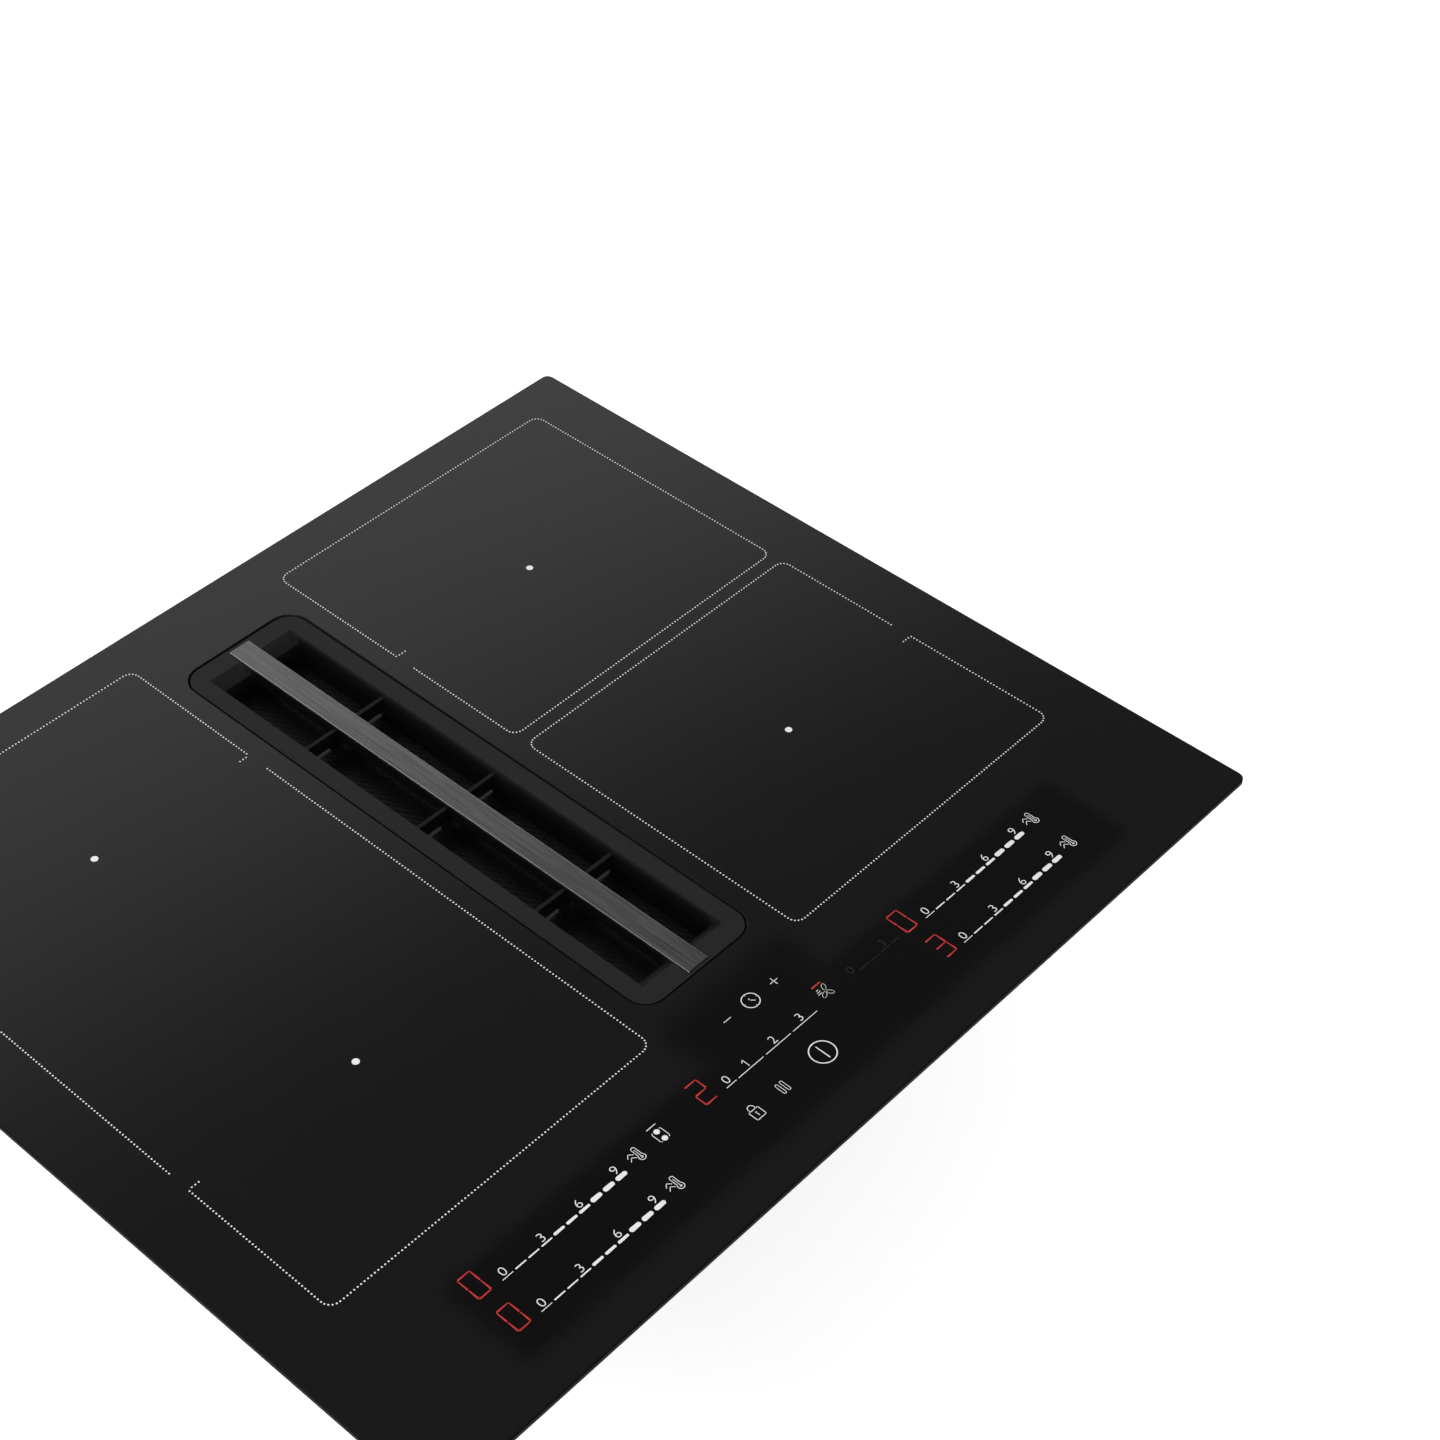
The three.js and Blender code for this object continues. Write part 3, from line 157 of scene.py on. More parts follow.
# %% [markdown]
# Real surfaces vary a little everywhere, in tint, in gloss and in height. So nearly every
# material here starts from three plain numbers, and then one pattern drifts its colour, its
# roughness and its bumps. Each of these steps is a short function that the materials share.

# %% Steps that the materials share
def start_material(name, code, roughness, metallic=0.0, ior=1.5):
    """A material with its shader set and the piece's own coordinates ready to use."""
    material = bpy.data.materials.new(name)
    material.use_nodes = True
    tree = material.node_tree
    shader = tree.nodes["Principled BSDF"]
    shader.inputs["Base Color"].default_value = linear(code)
    shader.inputs["Roughness"].default_value = roughness
    shader.inputs["Metallic"].default_value = metallic
    shader.inputs["IOR"].default_value = ior
    place = add_node(tree, "ShaderNodeTexCoord").outputs["Object"]
    return material, tree, shader, place


def drift_colour(tree, shader, pattern, code, lighter, socket="Base Color"):
    """Lets a pattern lead a colour from one code to another."""
    shade = add_node(
        tree,
        "ShaderNodeMix",
        values={"A": linear(code), "B": linear(lighter)},
        links={"Factor": pattern},
        data_type="RGBA",
    )
    tree.links.new(shade.outputs["Result"], shader.inputs[socket])


def drift_gloss(tree, shader, pattern, smoothest, roughest):
    """Lets a pattern lead the roughness from one limit to the other."""
    gloss = add_node(
        tree,
        "ShaderNodeMapRange",
        values={"To Min": smoothest, "To Max": roughest},
        links={"Value": pattern},
    )
    tree.links.new(gloss.outputs["Result"], shader.inputs["Roughness"])


def roughen(tree, shader, height, distance_mm, strength=1.0):
    """Feeds a height pattern to the shader as bumps this deep."""
    bump = add_node(
        tree,
        "ShaderNodeBump",
        values={"Strength": strength, "Distance": distance_mm * MM},
        links={"Height": height},
    )
    tree.links.new(bump.outputs["Normal"], shader.inputs["Normal"])


def paint_over(tree, shader, mask, code):
    """Lays one more colour over the base colour, as far as a mask says."""
    colour = add_node(
        tree,
        "ShaderNodeMix",
        values={"B": linear(code)},
        links={"Factor": mask, "A": shader.inputs["Base Color"].links[0].from_socket},
        data_type="RGBA",
    )
    tree.links.new(colour.outputs["Result"], shader.inputs["Base Color"])


# %% [markdown]
# ## Studio
#
# The photograph is a cut-out on white: plain pale floor, soft light, and glass that is
# brighter towards the back because it mirrors a bright wall there and a dark ceiling
# overhead. A picture of a studio would do this too, but a few soft ramps over the direction
# of a ray are easier to match. Glossy rays meet a pale horizon, a tall bright wall at the
# back that fades upwards, and a soft box at the left that draws the thin light lines along
# edges. How the wall fades was matched to the tone of the glass in the photograph.

# %% What the surfaces mirror
wall_aim = (0.09, 1, -1)
wall_fade = {"From Min": -0.25, "From Max": 0.04, "To Min": 0.117, "To Max": 0.755}
foot_fade = {"From Min": 0.34, "From Max": 0.54, "To Min": 0.12, "To Max": 1.0}
horizon_fade = {"From Min": 0.05, "From Max": 0.22, "To Min": 0.9, "To Max": 0.0}
box_aim = Vector((-0.85, -0.35, 0.4)).normalized()
box_fade = {"From Min": 0.72, "From Max": 0.95, "To Min": 0.0, "To Max": 1.6}


def mirrored_room(tree, direction):
    """How bright the room is in a direction, for rays that come off a glossy surface."""
    height = add_node(tree, "ShaderNodeSeparateXYZ", links={0: direction}).outputs["Z"]
    at_wall, at_box = [
        add_node(
            tree,
            "ShaderNodeVectorMath",
            values={1: aim},
            links={0: direction},
            operation="DOT_PRODUCT",
        ).outputs["Value"]
        for aim in (wall_aim, box_aim)
    ]
    ramps = ((at_wall, wall_fade), (height, foot_fade), (height, horizon_fade), (at_box, box_fade))
    wall, foot, horizon, soft_box = [
        add_node(
            tree,
            "ShaderNodeMapRange",
            values=fade,
            links={"Value": measure},
            interpolation_type="SMOOTHSTEP",
        ).outputs["Result"]
        for measure, fade in ramps
    ]
    raised_wall = add_node(
        tree,
        "ShaderNodeMath",
        links={0: wall, 1: foot},
        operation="MULTIPLY",
    )
    brighter = add_node(
        tree,
        "ShaderNodeMath",
        links={0: horizon, 1: soft_box},
        operation="MAXIMUM",
    )
    mirrored = add_node(
        tree,
        "ShaderNodeMath",
        links={0: raised_wall.outputs[0], 1: brighter.outputs[0]},
        operation="MAXIMUM",
    )
    return mirrored.outputs[0]


# %% [markdown]
# One world serves three kinds of ray. To the camera, and through clear things, it is white.
# To glossy rays it is the mirrored room. To all others it is an even soft light.

# %% World
soft_light = 0.5


def make_world():
    world = bpy.data.worlds.new("studio")
    bpy.context.scene.world = world
    world.use_nodes = True
    tree = world.node_tree
    background = tree.nodes["Background"]
    background.inputs["Color"].default_value = linear("#ffffff")
    direction = add_node(tree, "ShaderNodeTexCoord").outputs["Generated"]
    path = add_node(tree, "ShaderNodeLightPath")
    lit = add_node(
        tree,
        "ShaderNodeMix",
        values={"A": soft_light},
        links={"Factor": path.outputs["Is Glossy Ray"], "B": mirrored_room(tree, direction)},
    )
    seen = add_node(
        tree,
        "ShaderNodeMath",
        links={0: path.outputs["Is Camera Ray"], 1: path.outputs["Is Transmission Ray"]},
        operation="MAXIMUM",
    )
    strength = add_node(
        tree,
        "ShaderNodeMix",
        values={"B": 1.0},
        links={"Factor": seen.outputs[0], "A": lit.outputs["Result"]},
    )
    tree.links.new(strength.outputs["Result"], background.inputs["Strength"])
    print("world", world.name, "with", len(tree.nodes), "nodes")


make_world()

# %% [markdown]
# Two large soft lamps model the forms: a key from the left and behind, and a weak fill from
# the front. Glossy surfaces don't mirror them, because a lamp's square image in the glass
# would say more about the studio than about the cooktop.

# %% Lamps
lamps_aim_at = Vector((0, 0, 0.15))


def add_soft_lamp(name, place, size, watts):
    lamp_data = bpy.data.lights.new(name, "AREA")
    lamp_data.size = size
    lamp_data.energy = watts
    lamp = bpy.data.objects.new(name, lamp_data)
    bpy.context.scene.collection.objects.link(lamp)
    lamp.visible_glossy = False
    turned_to = (lamps_aim_at - place).to_track_quat("-Z", "Y").to_matrix().to_4x4()
    lamp.matrix_world = Matrix.Translation(place) @ turned_to
    print(name, "lamp,", watts, "W")


add_soft_lamp("key", Vector((-1.3, 0.5, 1.7)), size=1.2, watts=20)
add_soft_lamp("fill", Vector((0.9, -1.5, 1.1)), size=1.4, watts=8)

# %% [markdown]
# The floor is a plain pale sheet at the height that the cooktop's underside rests on. To the
# camera a steady glow lifts it to white, and the light that it catches keeps the shadow.

# %% Floor
floor_reach = 30
floor_glow = 0.62


def make_floor():
    material, tree, shader, place = start_material("pale_floor", "#f2f2f2", 0.9)
    paper = add_node(
        tree,
        "ShaderNodeTexNoise",
        values={"Scale": per_mm(3), "Detail": 2.0},
        links={"Vector": place},
    )
    roughen(tree, shader, paper.outputs["Fac"], 0.02)
    path = add_node(tree, "ShaderNodeLightPath")
    lift = add_node(
        tree,
        "ShaderNodeMath",
        values={1: floor_glow},
        links={0: path.outputs["Is Camera Ray"]},
        operation="MULTIPLY",
    )
    shader.inputs["Emission Color"].default_value = linear("#ffffff")
    tree.links.new(lift.outputs[0], shader.inputs["Emission Strength"])
    bm = bmesh.new()
    bmesh.ops.create_grid(bm, x_segments=2, y_segments=2, size=floor_reach)
    mesh = bpy.data.meshes.new("floor")
    bm.to_mesh(mesh)
    bm.free()
    mesh.materials.append(material)
    floor = bpy.data.objects.new("floor", mesh)
    bpy.context.scene.collection.objects.link(floor)
    print("floor reaches", floor_reach, "m each way")


make_floor()

# %% [markdown]
# ## Black glass-ceramic
#
# The panel is a rolled lithium glass-ceramic, dyed black and polished by fire. What the eye
# sees is almost only the mirror on top: a sharp reflection of about a twentieth of the
# light, over black. Its underside carries a very dark grey coat, which stops round the
# controls so that the red digits shine through. There the panel is blacker and a bit warm.
# A mask in the shape of a soft rectangle tells the two apart.

# %% A soft rectangle as a mask
def window_mask(tree, place, centre, half_size, feather):
    """1 inside a rectangle on the glass, 0 outside it, with a soft edge; sizes in mm."""
    # These steps leave how far a point is outside. A metre is taken off its height, which
    # then doesn't count.
    steps = (
        ("SUBTRACT", (centre[0] * MM, centre[1] * MM, 0)),
        ("ABSOLUTE", None),
        ("SUBTRACT", (half_size[0] * MM, half_size[1] * MM, 1)),
        ("MAXIMUM", (0, 0, 0)),
        ("LENGTH", None),
    )
    reached = place
    for operation, operand in steps:
        step = add_node(
            tree,
            "ShaderNodeVectorMath",
            values={1: operand} if operand else None,
            links={0: reached},
            operation=operation,
        )
        reached = step.outputs[0]
    mask = add_node(
        tree,
        "ShaderNodeMapRange",
        values={"From Min": 0.0, "From Max": feather * MM, "To Min": 1.0, "To Max": 0.0},
        links={"Value": step.outputs["Value"]},
        interpolation_type="SMOOTHSTEP",
    )
    return mask.outputs["Result"]


# %% [markdown]
# The edges of the panel and of its hole are ground, not polished, so they are matt and show
# as dark lines. A dark metal mirrors only a trace of the room, and an exported model keeps
# that, so it stands for the ground edge. The height of a point decides which is which: the
# last fraction of a millimetre below the top is polished.

# %% Glass-ceramic
ground_below_mm = 0.3
polished_above_mm = 0.05
ground_roughness = 0.55


def make_glass_ceramic():
    material, tree, shader, place = start_material("glass_ceramic", "#0c0c0d", 0.07)
    strip = window_mask(tree, place, centre=(0, -211), half_size=(212, 20), feather=16)
    timer = window_mask(tree, place, centre=(-2, -185), half_size=(34, 22), feather=22)
    window = add_node(
        tree,
        "ShaderNodeMath",
        links={0: strip, 1: timer},
        operation="MAXIMUM",
    )
    coat = add_node(
        tree,
        "ShaderNodeMix",
        values={"A": linear("#141212"), "B": linear("#050304")},
        links={"Factor": window.outputs[0]},
        data_type="RGBA",
    )
    height = add_node(tree, "ShaderNodeSeparateXYZ", links={0: place})
    polished = add_node(
        tree,
        "ShaderNodeMapRange",
        values={
            "From Min": glass_top - ground_below_mm * MM,
            "From Max": glass_top - polished_above_mm * MM,
        },
        links={"Value": height.outputs["Z"]},
    ).outputs["Result"]
    colour = add_node(
        tree,
        "ShaderNodeMix",
        values={"A": linear("#262626")},
        links={"Factor": polished, "B": coat.outputs["Result"]},
        data_type="RGBA",
    )
    tree.links.new(colour.outputs["Result"], shader.inputs["Base Color"])
    unmirrored = add_node(
        tree,
        "ShaderNodeMapRange",
        values={"To Min": 1.0, "To Max": 0.0},
        links={"Value": polished},
    )
    tree.links.new(unmirrored.outputs["Result"], shader.inputs["Metallic"])
    # Wiped glass is a little less smooth in patches.
    smudge = add_node(
        tree,
        "ShaderNodeTexNoise",
        values={"Scale": per_mm(45), "Detail": 3.0},
        links={"Vector": place},
    )
    polish = add_node(
        tree,
        "ShaderNodeMapRange",
        values={"From Min": 0.35, "From Max": 0.7, "To Min": 0.05, "To Max": 0.09},
        links={"Value": smudge.outputs["Fac"]},
    )
    gloss = add_node(
        tree,
        "ShaderNodeMix",
        values={"A": ground_roughness},
        links={"Factor": polished, "B": polish.outputs["Result"]},
    )
    tree.links.new(gloss.outputs["Result"], shader.inputs["Roughness"])
    # Rolled glass has long, shallow ripples that bend what it mirrors.
    ripple = add_node(
        tree,
        "ShaderNodeTexNoise",
        values={"Scale": per_mm(60), "Detail": 0.0},
        links={"Vector": place},
    )
    roughen(tree, shader, ripple.outputs["Fac"], 0.02)
    return material


glass_ceramic = make_glass_ceramic()
print("glass-ceramic of", len(glass_ceramic.node_tree.nodes), "nodes")

# %% [markdown]
# ## Moulded plastics
#
# The grille, ducts, blower and boxes are injection moulded. The mould's walls are eroded by
# sparks, which leaves a fine grain that scatters the gloss. Each plastic is the same recipe:
# a base colour that drifts a little, a grain of a stated size, and a roughness.

# %% Plastics
gloss_spread = 0.07


def make_plastic(name, code, lighter, grain_mm, grain_depth_mm, roughness):
    material, tree, shader, place = start_material(name, code, roughness, ior=1.49)
    drift = add_node(
        tree,
        "ShaderNodeTexNoise",
        values={"Scale": per_mm(70), "Detail": 2.0},
        links={"Vector": place},
    )
    drift_colour(tree, shader, drift.outputs["Fac"], code, lighter)
    grain = add_node(
        tree,
        "ShaderNodeTexNoise",
        values={"Scale": per_mm(grain_mm), "Detail": 2.0, "Roughness": 0.6},
        links={"Vector": place},
    )
    smoothest, roughest = roughness - gloss_spread, roughness + gloss_spread
    drift_gloss(tree, shader, grain.outputs["Fac"], smoothest, roughest)
    roughen(tree, shader, grain.outputs["Fac"], grain_depth_mm, 0.6)
    return material


# Heat-proof polyamide with a fine matt grain, coloured to match the glass.
grille_polyamide = make_plastic("grille_polyamide", "#171718", "#1d1d1e", 0.7, 0.03, 0.5)
# Glass-filled polypropylene, a shade greyer, with a coarser grain.
duct_polypropylene = make_plastic("duct_polypropylene", "#1f2021", "#292a2c", 1.1, 0.05, 0.55)
# Flame-proof polycarbonate of the mains box.
terminal_polycarbonate = make_plastic(
    "terminal_polycarbonate", "#26272a", "#2f3034", 0.9, 0.04, 0.42
)
# Washable polypropylene of the overflow container, mid grey.
container_polypropylene = make_plastic(
    "container_polypropylene", "#5b5e61", "#666a6d", 1.2, 0.04, 0.4
)
# Glass-filled polyamide of the wheel and of the coil carriers.
wheel_polyamide = make_plastic("wheel_polyamide", "#3d3f43", "#4a4c50", 0.9, 0.04, 0.48)
coil_polyamide = make_plastic("coil_polyamide", "#6a6d70", "#777a7d", 0.8, 0.03, 0.5)
# Glossier black of the two cooling fans.
fan_polybutylene = make_plastic("fan_polybutylene", "#141415", "#1b1b1c", 0.8, 0.02, 0.35)
print(len(bpy.data.materials), "materials with the plastics")

# %% [markdown]
# Below its rim the grille is painted blacker: painted shade in the deep, dark throat. The
# height of a point decides: the rim's grey down to half a millimetre below the rim, full
# painted shade two further down. The wide chamfers at the two ends keep most of the rim's
# grey, and catch some light.

# %% Painted shade in the grille's throat
shade_starts_below_mm = 0.5
full_shade_below_mm = 2.5


# Paints shade into the throat: near black below the rim, much less at the two ends.
def blacken_throat(material, code):
    tree = material.node_tree
    shader = tree.nodes["Principled BSDF"]
    place = add_node(tree, "ShaderNodeTexCoord").outputs["Object"]
    height = add_node(tree, "ShaderNodeSeparateXYZ", links={0: place})
    deep = add_node(
        tree,
        "ShaderNodeMapRange",
        values={
            "From Min": grille_top - full_shade_below_mm * MM,
            "From Max": grille_top - shade_starts_below_mm * MM,
            "To Min": 1.0,
            "To Max": 0.0,
        },
        links={"Value": height.outputs["Z"]},
    )
    between_ends = window_mask(
        tree, place, centre=grille_middle.xy, half_size=(40, 153), feather=3
    )
    kept = add_node(
        tree,
        "ShaderNodeMapRange",
        values={"To Min": 0.15, "To Max": 1.0},
        links={"Value": between_ends},
    )
    throat_shade = add_node(
        tree,
        "ShaderNodeMath",
        links={0: deep.outputs["Result"], 1: kept.outputs["Result"]},
        operation="MULTIPLY",
    )
    paint_over(tree, shader, throat_shade.outputs[0], code)


# The near black code is the colour of the painted shade.
blacken_throat(grille_polyamide, "#050506")
print("throat fully shaded from", full_shade_below_mm, "mm below the rim")

# %% [markdown]
# ## Metals
#
# Galvanised sheet shows its spangle: flat crystals of zinc a few millimetres wide, each with
# its own tilt, so each throws back a slightly different grey. Voronoi cells stand for them,
# and a little noise bends their straight borders.

# %% Galvanised steel
def make_galvanised(name, code, lighter, spangle_mm, roughness):
    material, tree, shader, place = start_material(name, code, roughness, metallic=1.0)
    bent = add_node(
        tree,
        "ShaderNodeTexNoise",
        values={"Scale": per_mm(spangle_mm * 1.5), "Detail": 1.0},
        links={"Vector": place},
    )
    bend = 0.4 * spangle_mm * MM
    wander = add_node(
        tree,
        "ShaderNodeVectorMath",
        values={1: (bend, bend, bend)},
        links={0: bent.outputs["Color"], 2: place},
        operation="MULTIPLY_ADD",
    )
    spangle = add_node(
        tree,
        "ShaderNodeTexVoronoi",
        values={"Scale": per_mm(spangle_mm)},
        links={"Vector": wander.outputs[0]},
    )
    tilt = add_node(tree, "ShaderNodeSeparateColor", links={"Color": spangle.outputs["Color"]})
    drift_colour(tree, shader, tilt.outputs["Red"], code, lighter)
    drift_gloss(tree, shader, tilt.outputs["Green"], roughness - 0.08, roughness + 0.1)
    roughen(tree, shader, tilt.outputs["Blue"], 0.015, 0.5)
    return material


galvanised_steel = make_galvanised("galvanised_steel", "#909497", "#a3a7a9", 4, 0.42)
motor_steel = make_galvanised("motor_steel", "#7d8083", "#8e9194", 3, 0.36)
clamp_steel = make_galvanised("zinc_plated_clamp_steel", "#9a9b98", "#b3b2a9", 2, 0.34)
print(len(bpy.data.materials), "materials with the galvanised steels")

# %% [markdown]
# Brushed steel is dragged along an abrasive belt, so its scratches all run one way. Stretched
# noise draws them, some centimetres long. Real ones are far finer than the half to whole
# millimetre across that they get here, which is as coarse as they need to show. They run
# front to back, as the bar and the long sides of the filter do. Rolled sheet has lines of
# the same kind, so it shares the recipe.

# %% Brushed and rolled metals
def make_brushed(name, code, lighter, across_mm, along_mm, roughness, depth_mm):
    material, tree, shader, place = start_material(name, code, roughness, metallic=1.0)
    stretched = add_node(
        tree,
        "ShaderNodeMapping",
        values={"Scale": (per_mm(across_mm), per_mm(along_mm), per_mm(across_mm))},
        links={"Vector": place},
    )
    scratches = add_node(
        tree,
        "ShaderNodeTexNoise",
        values={"Scale": 1.0, "Detail": 4.0, "Roughness": 0.65},
        links={"Vector": stretched.outputs[0]},
    )
    drift_colour(tree, shader, scratches.outputs["Fac"], code, lighter)
    drift_gloss(tree, shader, scratches.outputs["Fac"], roughness - 0.1, roughness + 0.1)
    roughen(tree, shader, scratches.outputs["Fac"], depth_mm, 0.5)
    return material


# Stainless steel of the bar, whose coarse belt leaves streaks that show from a step away.
brushed_steel = make_brushed("brushed_stainless_steel", "#3e3e3f", "#b2b2b2", 0.9, 45, 0.27, 0.03)
# Stainless steel of the filter's frame, left bright.
filter_steel = make_brushed("filter_stainless_steel", "#8f8f8e", "#a9a9a8", 0.5, 60, 0.35, 0.01)
# Rolled aluminium of plates and heat sinks, whose rolling lines are longer and softer.
rolled_aluminium = make_brushed("rolled_aluminium", "#a3a5a7", "#b9bbbd", 0.8, 120, 0.4, 0.01)
# The filter's mesh is aluminium, coloured near black as painted shade, which keeps the slots dark.
slot_shade_mesh = make_brushed("mesh_darkened_as_slot_shade", "#38383b", "#5a5a5e", 0.4, 8, 0.45, 0.01)
print(len(bpy.data.materials), "materials with the brushed and rolled metals")

# %% [markdown]
# In the photograph the bar's near edge shows as a bright line about a millimetre wide: a
# highlight. A mask on the distance from the bar's middle finds the rounded edges and lays a
# lighter colour there as a painted highlight, matched to the photograph.

# %% Painted highlight on the bar's edges
bar_rounding_mm = 0.5


# Paints a lighter colour on the two rounded long edges: a painted highlight.
def brighten_edges(material, low_x, high_x, reach_mm, code):
    tree = material.node_tree
    shader = tree.nodes["Principled BSDF"]
    place = add_node(tree, "ShaderNodeTexCoord").outputs["Object"]
    across = add_node(tree, "ShaderNodeSeparateXYZ", links={0: place})
    from_middle = add_node(
        tree,
        "ShaderNodeMath",
        values={1: (low_x + high_x) / 2},
        links={0: across.outputs["X"]},
        operation="SUBTRACT",
    )
    distance = add_node(
        tree,
        "ShaderNodeMath",
        links={0: from_middle.outputs[0]},
        operation="ABSOLUTE",
    )
    inner = (high_x - low_x) / 2 - reach_mm * MM
    edge_highlight = add_node(
        tree,
        "ShaderNodeMapRange",
        values={"From Min": inner, "From Max": inner + reach_mm / 3 * MM},
        links={"Value": distance.outputs[0]},
    )
    paint_over(tree, shader, edge_highlight.outputs["Result"], code)


brighten_edges(brushed_steel, bar_low.x, bar_high.x, bar_rounding_mm, "#eaeaea")
print("bar's edges bright over", bar_rounding_mm, "mm")

# %% [markdown]
# ## Inside materials
#
# The coils are wound from litz wire, bundles of thin enamelled strands. A ring pattern has
# one middle and there are four coils, so slanting bands of two warm browns stand for the
# strands instead. Felt, foam and circuit board need one texture each.

# %% Copper, felt, foam and board
def make_litz_copper():
    material, tree, shader, place = start_material(
        "enamelled_litz_copper", "#8a4a2a", 0.42, metallic=1.0
    )
    strands = add_node(
        tree,
        "ShaderNodeTexWave",
        values={"Scale": per_mm(9), "Distortion": 3.0, "Detail": 2.0, "Detail Scale": 2.0},
        links={"Vector": place},
        bands_direction="DIAGONAL",
    )
    drift_colour(tree, shader, strands.outputs["Fac"], "#6d3519", "#b3683e")
    roughen(tree, shader, strands.outputs["Fac"], 0.3)
    return material


def make_fibre(name, code, lighter, fibre_mm, depth_mm, roughness):
    material, tree, shader, place = start_material(name, code, roughness)
    fibre = add_node(
        tree,
        "ShaderNodeTexNoise",
        values={"Scale": per_mm(fibre_mm), "Detail": 6.0, "Roughness": 0.7, "Distortion": 1.2},
        links={"Vector": place},
    )
    drift_colour(tree, shader, fibre.outputs["Fac"], code, lighter)
    roughen(tree, shader, fibre.outputs["Fac"], depth_mm)
    return material


def make_circuit_board():
    material, tree, shader, place = start_material("soldermask_glass_epoxy", "#1c4a2e", 0.38)
    tracks = add_node(
        tree,
        "ShaderNodeTexBrick",
        values={
            "Color1": linear("#173f27"),
            "Color2": linear("#1f5233"),
            "Mortar": linear("#2c6b45"),
            "Scale": per_mm(9),
            "Mortar Size": 0.05,
        },
        links={"Vector": place},
    )
    tree.links.new(tracks.outputs["Color"], shader.inputs["Base Color"])
    roughen(tree, shader, tracks.outputs["Fac"], 0.05)
    return material


litz_copper = make_litz_copper()
ceramic_felt = make_fibre("ceramic_fibre_felt", "#cfccc2", "#e9e6dd", 2.5, 0.4, 0.95)
foam_rubber = make_fibre("closed_cell_foam_rubber", "#1c1c1c", "#2b2b2b", 1.0, 0.2, 0.9)
circuit_board = make_circuit_board()
print(len(bpy.data.materials), "materials")

# %% [markdown]
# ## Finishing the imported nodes
#
# A moulded or pressed edge is never knife sharp. A copy of a node can be welded, freed of
# its needless triangles and bevelled by a few tenths of a millimetre, so each edge catches a
# thin line of light. The copy then stands for the node. Weighted normals keep the flat
# faces flat while the small bevels shade smoothly.

# %% Helpers for pieces
weld_mm = 0.002
flat_degrees = 0.5
sharp_degrees = 32
smooth_degrees = 40
bevel_segments = 2


def body_of(node_name):
    return nodes[node_name]["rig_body"]


def finish_piece(bm, name, material, body):
    """Turns a bmesh, drawn in metres in the shared frame, into a piece that rides a body."""
    bmesh.ops.recalc_face_normals(bm, faces=bm.faces)
    mesh = bpy.data.meshes.new(name)
    bm.to_mesh(mesh)
    bm.free()
    mesh.materials.append(material)
    mesh.polygons.foreach_set("use_smooth", [True] * len(mesh.polygons))
    mesh.set_sharp_from_angle(angle=math.radians(smooth_degrees))
    piece = bpy.data.objects.new(name, mesh)
    bpy.context.scene.collection.objects.link(piece)
    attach(piece, body)
    print(name, "has", len(mesh.polygons), "faces")
    return piece


def soften(node_name, name, material, radius_mm):
    """A copy of a node with its sharp edges rounded, which then stands for the node."""
    bm = bmesh.new()
    bm.from_mesh(nodes[node_name].data)
    bmesh.ops.remove_doubles(bm, verts=bm.verts, dist=weld_mm * MM)
    flat_angle = math.radians(flat_degrees)
    bmesh.ops.dissolve_limit(bm, angle_limit=flat_angle, verts=bm.verts, edges=bm.edges)
    closed = [edge for edge in bm.edges if edge.is_manifold]
    sharp = [edge for edge in closed if edge.calc_face_angle() > math.radians(sharp_degrees)]
    bmesh.ops.bevel(
        bm,
        geom=sharp,
        offset=radius_mm * MM,
        offset_type="OFFSET",
        affect="EDGES",
        segments=bevel_segments,
        profile=0.5,
        material=-1,
        clamp_overlap=True,
    )
    piece = finish_piece(bm, name, material, body_of(node_name))
    piece.modifiers.new("flat faces", "WEIGHTED_NORMAL").keep_sharp = True
    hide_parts(node_name)


# %% [markdown]
# The nodes that a buyer or a fitter sees get the softened copy: the glass, the grille and its
# bar, the sheet steel, and the moulded ducts and boxes.

# %% Softened shells
soften("glass_panel", "glass_top_panel", glass_ceramic, 0.3)
soften("rim_seal", "rim_foam_seal", foam_rubber, 0.5)
soften("carrier_frame", "carrier_sheet", galvanised_steel, 0.3)
soften("electronics_tray", "tray_sheet", galvanised_steel, 0.3)
soften("grille_frame", "grille_moulding", grille_polyamide, 0.5)
soften("grille_bar", "grille_brushed_bar", brushed_steel, bar_rounding_mm)
soften("intake_seat_frame", "seat_moulding", duct_polypropylene, 0.3)
soften("plenum_tub", "plenum_moulding", duct_polypropylene, 0.5)
soften("plenum_cover", "plenum_cover_moulding", duct_polypropylene, 0.4)
soften("blower_lower_shell", "blower_lower_moulding", duct_polypropylene, 0.6)
soften("blower_upper_shell", "blower_upper_moulding", duct_polypropylene, 0.6)
soften("duct_collar", "duct_collar_moulding", duct_polypropylene, 0.5)
soften("sump_housing", "sump_moulding", duct_polypropylene, 0.5)
soften(
    "overflow_container", "container_moulding", container_polypropylene, 0.5
)
soften("terminal_box", "terminal_moulding", terminal_polycarbonate, 0.5)
soften("terminal_cover", "terminal_lid", terminal_polycarbonate, 0.5)

# %% [markdown]
# What is sealed between the glass and the tray, or turns inside the blower, keeps its plain
# solid and only gets its material. The four clamps hang in plain sight, so they are softened
# like the shells.

# %% Plain solids with their own finish, and the four clamps
sides = ("left", "right")
rows = ("front", "rear")


def paint(material, *node_names):
    """Gives a node that stays as it is a finish of its own."""
    for node_name in node_names:
        nodes[node_name].material_slots[0].material = material


